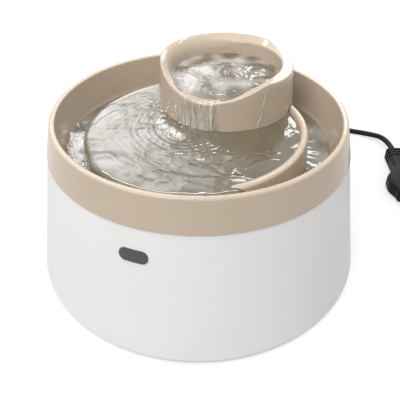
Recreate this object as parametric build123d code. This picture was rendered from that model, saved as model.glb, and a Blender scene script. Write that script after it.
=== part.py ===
from build123d import *
import math
import os

# Pet water fountain, in millimetres. The origin is on the table, under the middle of the
# reservoir; +Z is up, -Y faces the user and +X is to the user's right.
# A pump in the white reservoir lifts the water through a riser into the spout cup. It runs
# over the lip of the cup into the raised tray, spills into the ring channel of the bowl and
# drains through the filter back into the reservoir.

# ---------------------------------------------------------------- driving dimensions
# Radii build up from the dish of the tray outwards, and heights from the deck of the bowl.
dish_radius = 66.8
deck_height = 84.0

# Tray, set off from the middle
tray_x = -1.5
tray_y = -10.0
weir_width = 4.6
skirt_flare = 1.8
dish_lift = 10.0
dish_corner = 14.0
tray_wall = 2.3
tray_play = 0.4
rim_lift = 21.3
rim_slope = 0.034
weir_rounding_share = 0.43
spill_notch_count = 9
spill_notch_width = 9.0
spill_notch_height = 3.5
seat_ring_height = 2.6
seat_ring_play = 0.5
seat_ring_clear = 6.0
under_shoulder = 6.0

# Bowl
channel_least = 4.3
channel_lean = 4.8
channel_corner = 10.0
rim_land = 3.4
band_lean = 4.7
band_overhang = 0.5
bowl_depth = 29.0
rim_rounding = 1.5
bowl_wall = 2.4
locating_rib_count = 12
locating_rib_depth = 4.5
bowl_play = 1.0
rib_thickness = 2.0
rib_join_drop = 4.0

# Reservoir
shell_rise = 8.0
base_flare = 16.5
base_edge = 2.5
reservoir_wall = 2.6
reservoir_floor = 3.0
floor_corner = 6.0
foot_height = 1.0
foot_radius = 8.0
foot_inset = 24.5
foot_count = 4
foot_pocket = 0.6

# Spout cup and the pedestal of the tray that carries it
cup_azimuth = 60.13
cup_wall_gap = 5.0
cup_foot_radius = 47.6
cup_lean = 2.6
brim_width = 7.4
basin_draft = 2.0
seat_lift = 18.3
cup_height = 32.7
cup_wall = 2.4
basin_wall = 1.9
basin_corner = 8.0
brim_fall = 3.5
brim_corner = 4.5
brim_edge = 2.2
land_drop = 4.5
land_direction = -15.0
land_spread = 66.0
lip_direction = -113.0
lip_drop = 12.7
lip_curve = 69.0
pedestal_draw = 13.1
register_height = 2.0
cup_play = 0.4

# Pump, lying along Y with its outlet under the middle of the cup
suction_rise = 7.0
pump_width = 42.0
pump_height = 34.0
pump_corner = 5.0
pump_edge = 2.0
motor_length = 36.0
chamber_length = 16.0
chamber_radius = 17.5
chamber_wall = 2.7
cover_thickness = 2.5
inlet_eye = 8.0
impeller_gap = 1.6
impeller_play = 2.0
impeller_disc = 1.6
blade_count = 6
blade_width = 8.0
blade_thickness = 1.6
hub_radius = 3.2
shaft_radius = 1.25
shaft_play = 0.05
bush_length = 3.0
magnet_radius = 7.4
magnet_length = 24.0
magnet_play = 0.8
hub_end_play = 1.5
boss_wall = 1.6
arm_width = 1.8
rotor_gap = 0.7
inlet_length = 14.0
inlet_width = 34.0
inlet_height = 30.0
inlet_wall = 1.8
inlet_corner = 4.0
inlet_edge = 1.2
slot_width = 2.0
inlet_slot_count = 4
inlet_slot_drop = 9.0
regulator_travel = 6.0
regulator_length = 18.0
regulator_height = 5.0
regulator_thickness = 1.6
knob_width = 4.0
knob_depth = 3.0
shutter_width = 8.0
rail_rise = 6.0
rail_thickness = 1.2
slide_play = 0.1
bay_gap = 2.0
bay_wall = 2.0
bay_height = 6.0

# Suction cups under the pump
suction_cup_radius = 7.0
peg_radius = 2.0
peg_share = 0.3
peg_inset_x = 9.0
peg_inset_y = 8.0

# Riser from the pump to the floor of the cup
tube_radius = 6.0
tube_wall = 1.4
outlet_stub = 9.5
sleeve_wall = 2.0
sleeve_gap = 1.5
seal_wall = 1.8
seal_lip = 2.3
seal_depth = 6.0
deck_hole_play = 1.2
pedestal_hole_play = 5.2

# Filter, hung under the deck of the bowl on the side away from the cup
filter_azimuth = -115.2
filter_margin = 2.4
filter_radius = 41.0
filter_depth = 19.0
filter_wall = 1.8
filter_play = 0.4
filter_taper = 2.0
filter_taper_height = 6.0
collar_wall = 2.0
collar_depth = 7.0
pad_height = 12.0
drain_slot_count = 12
drain_slot_width = 3.2
drain_slot_inner = 11.0
drain_slot_margin = 6.0
filter_slot_width = 2.2
filter_slot_inner = 14.0
filter_slot_margin = 4.0
filter_lid_thickness = 1.8
lid_knob_radius = 5.0
lid_knob_height = 1.4

# Mains lead
cord_radius = 2.5
boot_radius = 4.0
boot_seat = 4.0
boot_length = 10.0
exit_azimuth = 98.0
exit_drop = 16.0
grommet_width = 11.0
grommet_lip = 2.5
grommet_proud = 2.0
grommet_inside = 3.0
relief_length = 20.0
relief_radius = 4.4
relief_taper = 2.6
relief_groove_count = 4
relief_groove = 1.6
relief_core_share = 0.35
coil_x = -98.0
coil_margin = 5.5
coil_radius = 27.5
coil_columns = 3
coil_layers = 3
coil_entry = -68.0
coil_leave = 90.0
tie_width = 7.0
tie_thickness = 1.2

# Plug
plug_side_gap = 68.4
plug_setback = 47.0
plug_heading = -93.3
plug_thickness = 13.7
plug_width = 35.3
plug_length = 68.0
plug_edge = 1.6
plug_corner = 2.5
plug_waist_curve = 14.0
plug_flare_curve = 4.0
plug_shoulder_curve = 6.0
plug_rib_count = 3
plug_rib_start = 3.6
plug_rib_step = 4.0
plug_groove = 1.6
plug_groove_depth = 1.45
pin_radius = 2.0
pin_length = 19.0
pin_spacing = 18.6

# Plain plate on the front of the reservoir
plate_azimuth = -110.5
plate_drop = 18.0
plate_length = 18.0
plate_width = 8.0
plate_proud = 0.5

# Clearance round soft pieces, and how far a cut runs past the face it opens
soft_gap = 0.3
cut_over = 1.0

# ---------------------------------------------------------------- derived sizes
tray_rim_radius = dish_radius + weir_width
skirt_radius = tray_rim_radius + skirt_flare
channel_radius = math.hypot(tray_x, tray_y) + skirt_radius + channel_least
rim_inner_radius = channel_radius + channel_lean
rim_radius = rim_inner_radius + rim_land
band_radius = rim_radius + band_lean
reservoir_top_radius = band_radius - band_overhang
base_radius = reservoir_top_radius + base_flare
foot_circle = base_radius - foot_inset

reservoir_height = deck_height + shell_rise
rim_height = deck_height + bowl_depth
dish_floor = deck_height + dish_lift
rim_middle_height = deck_height + rim_lift
cup_seat = deck_height + seat_lift
cup_top = cup_seat + cup_height
cup_floor = cup_seat + cup_wall
lip_height = cup_top - lip_drop
exit_height = reservoir_height - exit_drop
plate_height = reservoir_height - plate_drop
weir_rounding = weir_width * weir_rounding_share

cup_top_radius = cup_foot_radius - cup_lean
brim_radius = cup_top_radius - brim_width
basin_radius = brim_radius - basin_draft
pedestal_foot_radius = cup_foot_radius - pedestal_draw
seat_share = seat_lift / bowl_depth
cup_reach = channel_radius + channel_lean * seat_share - cup_wall_gap - cup_foot_radius
cup_x = cup_reach * math.cos(math.radians(cup_azimuth))
cup_y = cup_reach * math.sin(math.radians(cup_azimuth))

floor_top = foot_height + reservoir_floor
deck_under = deck_height - bowl_wall
pump_axis_height = floor_top + suction_rise + pump_height / 2
peg_length = suction_rise * peg_share
chamber_bore = chamber_radius - chamber_wall
impeller_radius = chamber_bore - impeller_gap
chamber_front = cup_y - chamber_length / 2
chamber_back = cup_y + chamber_length / 2
pump_bottom = pump_axis_height - pump_height / 2
outlet_top = pump_axis_height + chamber_radius + outlet_stub
sleeve_length = 2 * (outlet_stub - sleeve_gap)
inlet_front = chamber_front - inlet_length
well_depth = magnet_length + bush_length
seal_top = cup_seat - soft_gap
riser_top = seal_top - seal_lip
seal_radius = tube_radius + seal_wall
tube_bore = tube_radius - tube_wall
deck_hole = seal_radius + deck_hole_play
pedestal_hole = seal_radius + pedestal_hole_play

filter_reach = filter_radius + filter_play + collar_wall + filter_margin + deck_hole
filter_x = cup_x + filter_reach * math.cos(math.radians(filter_azimuth))
filter_y = cup_y + filter_reach * math.sin(math.radians(filter_azimuth))

boot_x = cup_x - pump_width / 2 + boot_seat
boot_y = chamber_back + motor_length * 0.6
boot_z = pump_axis_height + 2.0
coil_width = coil_columns * 2 * cord_radius
coil_height = coil_layers * 2 * cord_radius
coil_y = base_radius + coil_margin + coil_radius + coil_width / 2
plug_x = base_radius + plug_side_gap
plug_y = coil_y - plug_setback

cup_place = Pos(cup_x, cup_y, 0)
tray_place = Pos(tray_x, tray_y, 0)
filter_place = Pos(filter_x, filter_y, 0)


def outline(points):
    """Closed face from (x, y) points; a third number rounds that corner."""
    places = [(point[0], point[1]) for point in points]
    radii = [point[2] if len(point) > 2 else 0 for point in points]
    return make_face(FilletPolyline(*places, radius=radii, close=True))


def turned(points):
    """Solid turned about the vertical axis from (radius, height) points."""
    return revolve(Plane.XZ * outline(points), Axis.Z)


def along_y(points, start, length):
    """Prism from (x, z) points about the pump's axis, from y = start towards +Y."""
    place = Plane((cup_x, start, pump_axis_height), x_dir=(1, 0, 0), z_dir=(0, -1, 0))
    return extrude(place * outline(points), -length)


def rod_y(radius, start, length):
    """Cylinder on the pump's axis, from y = start towards +Y."""
    place = Plane((cup_x, start, pump_axis_height), x_dir=(1, 0, 0), z_dir=(0, 1, 0))
    return extrude(place * Circle(radius), length)


def rod_gland(radius, length):
    """Cylinder from the seat of the lead's boot out of the pump's left side."""
    place = Plane((boot_x, boot_y, boot_z), x_dir=(0, 1, 0), z_dir=(-1, 0, 0))
    return extrude(place * Circle(radius), length)


def rod_z(radius, bottom, top):
    """Upright cylinder on the Z axis."""
    return Pos(0, 0, bottom) * Cylinder(radius, top - bottom, align=(Align.CENTER, Align.CENTER, Align.MIN))


def block(low, high):
    """Box between two opposite corners."""
    size = [high[i] - low[i] for i in range(3)]
    return Pos(*low) * Box(*size, align=(Align.MIN, Align.MIN, Align.MIN))


def around(count, start=0.0):
    """Rotations that spread copies evenly about the Z axis."""
    return [Rot(0, 0, start + 360.0 * i / count) for i in range(count)]


def reservoir_radius(height):
    """Outer radius of the reservoir at a height."""
    share = (height - foot_height) / (reservoir_height - foot_height)
    return base_radius + (reservoir_top_radius - base_radius) * share


def channel_wall_radius(height):
    """Radius of the bowl's inner wall above its rounded corner."""
    share = (height - deck_height) / (rim_height - deck_height)
    return channel_radius + (rim_inner_radius - channel_radius) * share


def cup_radius(height):
    """Outer radius of the spout cup at a height."""
    share = (height - cup_seat) / (cup_top - cup_seat)
    return cup_foot_radius + (cup_top_radius - cup_foot_radius) * share


# ---------------------------------------------------------------- reservoir
def exit_frame(height):
    """Plane at the reservoir's axis with X pointing out through the cord exit."""
    azimuth = math.radians(exit_azimuth)
    out = (math.cos(azimuth), math.sin(azimuth), 0)
    return Plane((0, 0, height), x_dir=out, z_dir=(0, 0, 1))


def exit_slot(width, bottom, top, start, end):
    """Upright slot with a round bottom, cut or filled along the cord exit."""
    half = width / 2
    frame = exit_frame(0)
    side = Plane(frame.origin + frame.x_dir * start, x_dir=frame.y_dir, z_dir=frame.x_dir)
    shape = outline([(-half, bottom, half * 0.9), (half, bottom, half * 0.9),
                     (half, top), (-half, top)])
    return extrude(side * shape, end - start)


def make_reservoir():
    inner_floor = reservoir_radius(floor_top) - reservoir_wall
    inner_top = reservoir_top_radius - reservoir_wall
    shell = turned([(0, foot_height), (base_radius, foot_height, base_edge),
                    (reservoir_top_radius, reservoir_height), (inner_top, reservoir_height),
                    (inner_floor, floor_top, floor_corner), (0, floor_top)])
    for spot in around(foot_count, 45.0):
        pocket = rod_z(foot_radius + soft_gap, foot_height, foot_height + foot_pocket)
        pocket = Pos(foot_circle, 0, 0) * pocket
        shell -= spot * pocket
    low = exit_height - grommet_width / 2
    shell -= exit_slot(grommet_width, low, reservoir_height + cut_over,
                       inner_top - cut_over, reservoir_radius(low) + cut_over)
    shell += make_pump_bay()
    return shell


def make_pump_bay():
    """Low rib around three sides of the pump that keeps it under the cup."""
    half = pump_width / 2 + bay_gap
    front = chamber_back + bay_gap
    back = chamber_back + motor_length + bay_gap
    top = floor_top + bay_height
    outside = block((cup_x - half - bay_wall, front, floor_top),
                    (cup_x + half + bay_wall, back + bay_wall, top))
    inside = block((cup_x - half, front - bay_wall, floor_top), (cup_x + half, back, top))
    return outside - inside


def make_feet():
    pads = []
    for spot in around(foot_count, 45.0):
        pads.append(spot * Pos(foot_circle, 0, 0) * rod_z(foot_radius, 0, foot_height + foot_pocket))
    return Compound(children=pads)


def make_plate():
    """Plain pill-shaped plate let on to the sloping wall."""
    azimuth = math.radians(plate_azimuth)
    radius = reservoir_radius(plate_height)
    out = (math.cos(azimuth), math.sin(azimuth), 0)
    inside = radius - plate_width
    side = Plane((out[0] * inside, out[1] * inside, plate_height), x_dir=(-out[1], out[0], 0), z_dir=out)
    pill = extrude(side * SlotOverall(plate_length, plate_width), plate_width * 2)
    outer = turned([(0, foot_height), (base_radius + plate_proud, foot_height),
                    (reservoir_top_radius + plate_proud, reservoir_height), (0, reservoir_height)])
    wall = turned([(0, foot_height), (base_radius, foot_height),
                   (reservoir_top_radius, reservoir_height), (0, reservoir_height)])
    return pill & (outer - wall)


# ---------------------------------------------------------------- bowl
def skin_corner():
    """Corner of the channel skin's underside, one wall outside its inner face."""
    lean = math.atan2(rim_inner_radius - channel_radius, rim_height - deck_height)
    shift = bowl_wall / math.cos(lean)
    return channel_radius - bowl_wall * math.tan(lean) + shift


def make_bowl():
    corner = skin_corner()
    join_height = rim_height - rib_join_drop
    join_radius = channel_wall_radius(join_height) + bowl_wall
    bowl = turned([(0, deck_height), (channel_radius, deck_height, channel_corner),
                   (rim_inner_radius, rim_height, rim_rounding * 0.6),
                   (rim_radius, rim_height, rim_rounding),
                   (band_radius, reservoir_height),
                   (band_radius - bowl_wall, reservoir_height),
                   (join_radius, join_height),
                   (corner, deck_under, channel_corner + bowl_wall), (0, deck_under)])
    inside = bowl_hollow(0, rim_height)
    rib_reach = reservoir_top_radius - reservoir_wall - bowl_play
    rib_foot = reservoir_height - locating_rib_depth
    root = channel_radius - cut_over
    rib = outline([(root, rib_foot), (rib_reach, rib_foot), (rib_reach, reservoir_height),
                   (band_radius - bowl_wall / 2, reservoir_height + bowl_wall / 2),
                   (join_radius + bowl_wall / 4, join_height), (root, reservoir_height)])
    for spot in around(locating_rib_count, exit_azimuth + 180.0 / locating_rib_count):
        wall = extrude(Plane.XZ * rib, rib_thickness / 2, both=True)
        bowl += spot * (wall - inside)
    bowl += make_filter_collar()
    bowl -= cup_place * rod_z(deck_hole, deck_under, deck_height)
    half = drain_slot_width / 2
    slot = block((drain_slot_inner, -half, deck_under),
                 (filter_radius - drain_slot_margin, half, deck_height))
    for spot in around(drain_slot_count):
        bowl -= filter_place * spot * slot
    return bowl + make_tray_seat()


def make_filter_collar():
    inner = filter_radius + filter_play
    ring = rod_z(inner + collar_wall, deck_under - collar_depth, deck_under)
    return filter_place * (ring - rod_z(inner, deck_under - collar_depth, deck_under))


def make_tray_seat():
    """Low ring inside the foot of the tray, open where the pedestal stands."""
    outer = skirt_radius - tray_wall - seat_ring_play
    top = deck_height + seat_ring_height
    ring = tray_place * (rod_z(outer, deck_height, top) - rod_z(outer - bowl_wall, deck_height, top))
    ring -= cup_place * rod_z(pedestal_foot_radius + seat_ring_clear, deck_height, top)
    for spot in around(spill_notch_count, notch_start()):
        ring -= tray_place * spot * notch_cutter(deck_height, top)
    return ring


# ---------------------------------------------------------------- tray
def notch_start():
    """Azimuth of the first notch, half a step from the pedestal's direction."""
    towards_cup = math.degrees(math.atan2(cup_y - tray_y, cup_x - tray_x))
    return towards_cup + 180.0 / spill_notch_count


def notch_cutter(bottom, top):
    half = spill_notch_width / 2
    inner = skirt_radius - tray_wall - seat_ring_play - bowl_wall - cut_over
    return block((inner, -half, bottom), (skirt_radius + cut_over, half, top))


def bowl_hollow(gap, top):
    """Space inside the channel wall of the bowl, less a gap all round."""
    return turned([(0, deck_height), (channel_radius - gap, deck_height, channel_corner),
                   (channel_wall_radius(top) - gap, top), (0, top)])


def make_tray():
    lean = skirt_flare / rim_lift
    blank_top = rim_middle_height + rim_slope * skirt_radius + tray_wall
    blank_radius = skirt_radius - lean * (blank_top - deck_height)
    blank = turned([(0, deck_height), (skirt_radius, deck_height), (blank_radius, blank_top), (0, blank_top)])
    dish = turned([(0, dish_floor), (dish_radius, dish_floor, dish_corner),
                   (dish_radius, blank_top), (0, blank_top)])
    tray = tray_place * (blank - dish)
    tilt = math.degrees(math.atan(rim_slope))
    above = Pos(0, 0, skirt_radius / 2) * Box(skirt_radius * 3, skirt_radius * 3, skirt_radius)
    tray -= Pos(tray_x, tray_y, rim_middle_height) * Rot(0, -tilt, 0) * above
    tray = fillet(rim_edges(tray), weir_rounding)
    tray -= cup_place * rod_z(cup_foot_radius + cup_play, cup_seat, blank_top)
    tray += cup_place * pedestal(0, cup_seat)
    tray -= tray_place * under_dish(lean)
    tray -= cup_place * pedestal(tray_wall, cup_seat - tray_wall)
    tray -= cup_place * rod_z(pedestal_hole, cup_seat - tray_wall, cup_seat)
    for spot in around(spill_notch_count, notch_start()):
        tray -= tray_place * spot * notch_cutter(deck_height, deck_height + spill_notch_height)
    tray &= bowl_hollow(tray_play, blank_top)
    register = cup_foot_radius - cup_wall - cup_play
    ring = rod_z(register, cup_seat, cup_seat + register_height)
    return tray + cup_place * (ring - rod_z(register - tray_wall, cup_seat, cup_seat + register_height))


def pedestal(skin, top):
    """Cone under the cup, one skin inside the pedestal's face."""
    slope = pedestal_draw / seat_lift
    foot = pedestal_foot_radius - skin * math.hypot(1, slope)
    head = foot + slope * (top - deck_height)
    return turned([(0, deck_height), (foot, deck_height), (head, top), (0, top)])


def rim_edges(tray):
    """The two edges of the sloping rim."""
    low = rim_middle_height - rim_slope * skirt_radius - cut_over
    return [edge for edge in tray.edges() if edge.center().Z > low]


def under_dish(lean):
    """Hollow under the dish, one wall inside its skin and the skirt."""
    shoulder = dish_floor + under_shoulder
    skin_corner_radius = dish_corner + tray_wall
    centre_radius = dish_radius - dish_corner
    centre_height = dish_floor + dish_corner
    drop = centre_height - shoulder
    skin = centre_radius + math.sqrt(skin_corner_radius ** 2 - drop ** 2)
    inner_foot = skirt_radius - tray_wall
    inner_shoulder = inner_foot - lean * (shoulder - deck_height)
    floor_under = dish_floor - tray_wall
    middle = (math.atan2(-drop, skin - centre_radius) - math.pi / 2) / 2
    arc_middle = (centre_radius + skin_corner_radius * math.cos(middle),
                  centre_height + skin_corner_radius * math.sin(middle))
    edges = [Polyline((0, floor_under), (0, deck_height), (inner_foot, deck_height),
                      (inner_shoulder, shoulder), (skin, shoulder)),
             ThreePointArc((skin, shoulder), arc_middle, (centre_radius, floor_under)),
             Line((centre_radius, floor_under), (0, floor_under))]
    return revolve(Plane.XZ * make_face(edges), Axis.Z)


# ---------------------------------------------------------------- spout cup
def basin_skin(height):
    """Radius of the basin's underside at a height, one wall outside its inner face."""
    share = (height - cup_floor) / (cup_top - brim_fall - cup_floor)
    return basin_radius + basin_wall + basin_draft * share


def make_cup():
    hollow_top = lip_height - cup_wall - cut_over
    floor_under = cup_floor - cup_wall
    blank = turned([(tube_bore, cup_floor), (basin_radius, cup_floor, basin_corner),
                    (brim_radius, cup_top - brim_fall, brim_corner),
                    (cup_top_radius, cup_top, brim_edge), (cup_foot_radius, cup_seat),
                    (cup_foot_radius - cup_wall, cup_seat),
                    (cup_radius(hollow_top) - cup_wall, hollow_top), (basin_skin(hollow_top), hollow_top),
                    (basin_skin(floor_under), floor_under, basin_corner), (tube_bore, floor_under)])
    blank -= land_cutter()
    blank -= lip_cutter()
    return cup_place * blank


def land_cutter():
    """Everything above the sloping flat that leaves the crescent on the brim."""
    slope = land_drop / (cup_top_radius * (1 - math.cos(math.radians(land_spread))))
    tilt = math.degrees(math.atan(slope))
    wide = cup_foot_radius * 5
    above = Pos(cup_foot_radius - wide / 2, 0, cup_height / 2) * Box(wide, wide, cup_height)
    return Rot(0, 0, land_direction) * Pos(cup_top_radius, 0, cup_top - land_drop) * Rot(0, tilt, 0) * above


def lip_cutter():
    """Wide shallow trough that lowers the brim where the water leaves."""
    place = Plane((0, 0, lip_height + lip_curve), x_dir=(0, 1, 0), z_dir=(1, 0, 0))
    trough = extrude(place * Circle(lip_curve), cup_foot_radius + cut_over)
    return Rot(0, 0, lip_direction) * trough


# ---------------------------------------------------------------- pump
def rounded_box(half_width, half_height, corner):
    """Points of a rounded rectangle about the pump's axis."""
    return [(-half_width, -half_height, corner), (half_width, -half_height, corner),
            (half_width, half_height, corner), (-half_width, half_height, corner)]


def peg_places():
    """Places of the four pegs under the motor."""
    reach = pump_width / 2 - peg_inset_x
    rows = (chamber_back + peg_inset_y, chamber_back + motor_length - peg_inset_y)
    return [Pos(cup_x + side * reach, y, 0) for side in (-1, 1) for y in rows]


def make_pump_housing():
    half_w = pump_width / 2
    half_h = pump_height / 2
    body = along_y(rounded_box(half_w, half_h, pump_corner), chamber_back, motor_length)
    body = chamfer(body.faces().sort_by(Axis.Y)[-1].edges(), pump_edge)
    body -= rod_y(magnet_radius + rotor_gap, chamber_back, well_depth)
    body -= rod_y(hub_radius, chamber_back + well_depth, bush_length)
    for spot in peg_places():
        body += spot * rod_z(peg_radius, pump_bottom - peg_length, pump_bottom + cut_over)
    return body - rod_gland(boot_radius, boot_seat)


def make_impeller_chamber():
    ring = rod_y(chamber_radius, chamber_front, chamber_length)
    tower = cup_place * rod_z(tube_radius + sleeve_wall, pump_axis_height, outlet_top - sleeve_length / 2)
    nozzle = cup_place * rod_z(tube_radius, pump_axis_height, outlet_top)
    chamber = ring + tower + nozzle
    chamber -= rod_y(chamber_bore, chamber_front, chamber_length)
    chamber -= cup_place * rod_z(tube_bore, pump_axis_height, outlet_top)
    return chamber


def make_chamber_cover():
    """Disc with the inlet eye and three arms that hold the front bush."""
    front = chamber_front - cover_thickness
    cover = rod_y(chamber_radius, front, cover_thickness) - rod_y(inlet_eye, front, cover_thickness)
    cover += rod_y(hub_radius + boss_wall, front, cover_thickness)
    half = arm_width / 2
    reach = inlet_eye + boss_wall
    arm = block((-half, 0, 0), (half, cover_thickness, reach))
    for turn in range(3):
        cover += Pos(cup_x, front, pump_axis_height) * Rot(0, 120 * turn, 0) * arm
    return cover - rod_y(hub_radius, front, cover_thickness)


def make_bushes():
    starts = (chamber_front - cover_thickness, chamber_back + well_depth)
    return Compound(children=[rod_y(hub_radius, start, bush_length) - rod_y(shaft_radius, start, bush_length)
                              for start in starts])


def make_shaft():
    start = chamber_front - cover_thickness
    return rod_y(shaft_radius, start, chamber_back + well_depth + bush_length - start)


def make_impeller():
    start = chamber_front + impeller_play
    length = chamber_back + well_depth - hub_end_play - start
    hub = rod_y(hub_radius, start, length)
    disc = rod_y(impeller_radius, start + blade_width, impeller_disc)
    blade = outline_blade()
    for turn in range(blade_count):
        angle = 360.0 * turn / blade_count
        hub += Pos(cup_x, start, pump_axis_height) * Rot(0, angle, 0) * blade
    return hub + disc - rod_y(shaft_radius + shaft_play, start, length)


def outline_blade():
    """One blade swept back along an arc from the hub to the rim of the disc."""
    root = hub_radius * 0.7
    inner = (root, 0)
    middle = (impeller_radius * 0.62, impeller_radius * 0.14)
    tip = (impeller_radius * 0.9, impeller_radius * 0.42)
    back = blade_thickness
    edges = [ThreePointArc(inner, middle, tip), Line(tip, (tip[0] - back * 0.5, tip[1] + back)),
             ThreePointArc((tip[0] - back * 0.5, tip[1] + back), (middle[0] - back * 0.3, middle[1] + back),
                           (inner[0], inner[1] + back)),
             Line((inner[0], inner[1] + back), inner)]
    place = Plane((0, 0, 0), x_dir=(1, 0, 0), z_dir=(0, 1, 0))
    return extrude(place * make_face(edges), blade_width + impeller_disc / 4)


def make_magnet():
    start = chamber_back + magnet_play
    return rod_y(magnet_radius, start, magnet_length) - rod_y(hub_radius, start, magnet_length)


def make_inlet_cover():
    half_w = inlet_width / 2
    half_h = inlet_height / 2
    back = chamber_front - cover_thickness
    shell = along_y(rounded_box(half_w, half_h, inlet_corner), inlet_front, back - inlet_front)
    shell = chamfer(shell.faces().sort_by(Axis.Y)[0].edges(), inlet_edge)
    hollow = rounded_box(half_w - inlet_wall, half_h - inlet_wall, inlet_corner - inlet_wall)
    shell -= along_y(hollow, inlet_front + inlet_wall, back - inlet_front)
    slots_left = cup_x - regulator_length / 2 - regulator_travel / 2 + slot_width
    slot_low = pump_axis_height - inlet_slot_drop
    slot_high = pump_axis_height + rail_rise - slot_width / 2
    for column in range(inlet_slot_count):
        left = slots_left + column * slot_width * 2
        shell -= block((left, inlet_front, slot_low),
                       (left + slot_width, inlet_front + inlet_wall, slot_high))
    rail_reach = (regulator_length + regulator_travel) / 2 + rail_thickness
    rail_low = pump_axis_height + rail_rise
    for z in (rail_low, rail_low + rail_thickness + regulator_height + 2 * slide_play):
        shell += block((cup_x - rail_reach, inlet_front - regulator_thickness, z),
                       (cup_x + rail_reach, inlet_front + inlet_wall / 2, z + rail_thickness))
    return shell


def make_sponge():
    half_w = inlet_width / 2 - inlet_wall - soft_gap
    half_h = inlet_height / 2 - inlet_wall - soft_gap
    start = inlet_front + inlet_wall + soft_gap
    return along_y(rounded_box(half_w, half_h, inlet_corner - inlet_wall),
                   start, chamber_front - cover_thickness - soft_gap - start)


def make_regulator():
    """Slide between the two rails, bridged over the lower one to a shutter before the slots."""
    low = pump_axis_height + rail_rise + rail_thickness + slide_play
    high = low + regulator_height
    left = cup_x - (regulator_length + regulator_travel) / 2
    right = left + regulator_length
    back = inlet_front - slide_play
    front = back - regulator_thickness
    plate = block((left, front, low), (right, back, high))
    middle = (left + right) / 2
    knob = block((middle - knob_width / 2, front - knob_depth, low + regulator_height / 5),
                 (middle + knob_width / 2, front, high))
    bridge = block((right - shutter_width, front - rail_thickness, pump_axis_height - inlet_slot_drop),
                   (right, front, high))
    shutter = block((right - shutter_width, front, pump_axis_height - inlet_slot_drop),
                    (right, back, pump_axis_height + rail_rise - slide_play))
    return plate + knob + bridge + shutter


def make_suction_cups():
    """Cups on the pegs: a collar, a neck and a thin lip that meets the floor."""
    neck = suction_cup_radius / 2
    cup = turned([(peg_radius, pump_bottom - peg_length), (peg_radius, pump_bottom),
                  (neck * 1.2, pump_bottom), (neck, pump_bottom - suction_rise * 0.37),
                  (suction_cup_radius, floor_top + suction_rise * 0.1), (suction_cup_radius, floor_top),
                  (suction_cup_radius * 0.8, floor_top), (peg_radius / 2, floor_top + suction_rise * 0.3),
                  (0, floor_top + suction_rise * 0.3), (0, pump_bottom - peg_length)])
    return Compound(children=[spot * cup for spot in peg_places()])


def make_riser():
    bottom = outlet_top + soft_gap
    return cup_place * (rod_z(tube_radius, bottom, riser_top) - rod_z(tube_bore, bottom, riser_top))


def make_seal():
    """Soft cap on the riser's end that meets the floor of the cup."""
    low = riser_top - seal_depth
    cap = rod_z(seal_radius, low, seal_top) - rod_z(tube_radius, low, riser_top)
    return cup_place * (cap - rod_z(tube_bore, riser_top, seal_top))


def make_sleeve():
    low = outlet_top - sleeve_length / 2
    high = outlet_top + sleeve_length / 2
    return cup_place * (rod_z(tube_radius + sleeve_wall, low, high) - rod_z(tube_radius, low, high))


# ---------------------------------------------------------------- filter
def filter_slot(start, end, bottom, depth):
    """Straight slot from one radius to another, through a floor."""
    half = filter_slot_width / 2
    return block((start, -half, bottom), (end, half, bottom + depth))


def make_filter_basket():
    top = deck_under
    bottom = top - filter_depth
    inner = filter_radius - filter_wall
    knee = bottom + filter_taper_height
    basket = turned([(0, bottom), (filter_radius - filter_taper, bottom), (filter_radius, knee),
                     (filter_radius, top), (inner, top), (inner, knee),
                     (inner - filter_taper, bottom + filter_wall), (0, bottom + filter_wall)])
    slot = filter_slot(filter_slot_inner, inner - filter_slot_margin, bottom, filter_wall)
    for spot in around(drain_slot_count * 2):
        basket -= spot * slot
    return filter_place * basket


def make_filter_pad():
    bottom = deck_under - filter_depth + filter_wall + soft_gap
    edge = filter_radius - filter_wall - soft_gap - filter_taper
    return filter_place * rod_z(edge, bottom, bottom + pad_height)


def make_filter_lid():
    bottom = deck_under - filter_depth + filter_wall + soft_gap * 2 + pad_height
    top = bottom + filter_lid_thickness
    edge = filter_radius - filter_wall - soft_gap
    lid = rod_z(edge, bottom, top)
    slot = filter_slot(drain_slot_inner, edge - filter_slot_margin, bottom, filter_lid_thickness)
    for spot in around(drain_slot_count):
        lid -= spot * slot
    knob_top = top + lid_knob_height
    lid += turned([(0, top), (lid_knob_radius, top), (lid_knob_radius * 0.8, knob_top), (0, knob_top)])
    return filter_place * lid


# ---------------------------------------------------------------- mains lead
def exit_point(distance, height=exit_height):
    azimuth = math.radians(exit_azimuth)
    return (distance * math.cos(azimuth), distance * math.sin(azimuth), height)


def cord_tube(name, points):
    """Round tube along straight runs joined by arcs as large as the runs allow."""
    places = [Vector(*point) for point in points]
    runs = [(places[i + 1] - places[i]) for i in range(len(places) - 1)]
    radii = []
    for before, after in zip(runs, runs[1:]):
        turn = math.radians(before.get_angle(after))
        radii.append(0.45 * min(before.length, after.length) / math.tan(turn / 2))
    path = FilletPolyline(*points, radius=radii)
    section = Plane(places[0], z_dir=runs[0]) * Circle(cord_radius)
    tube = sweep(section, path=path)
    expected = math.pi * cord_radius ** 2 * path.length
    print(name, "length %.1f" % path.length, "volume / expected %.4f" % (tube.volume / expected),
          "runs", [round(run.length) for run in runs], "radii", [round(radius) for radius in radii])
    return tube


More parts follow.
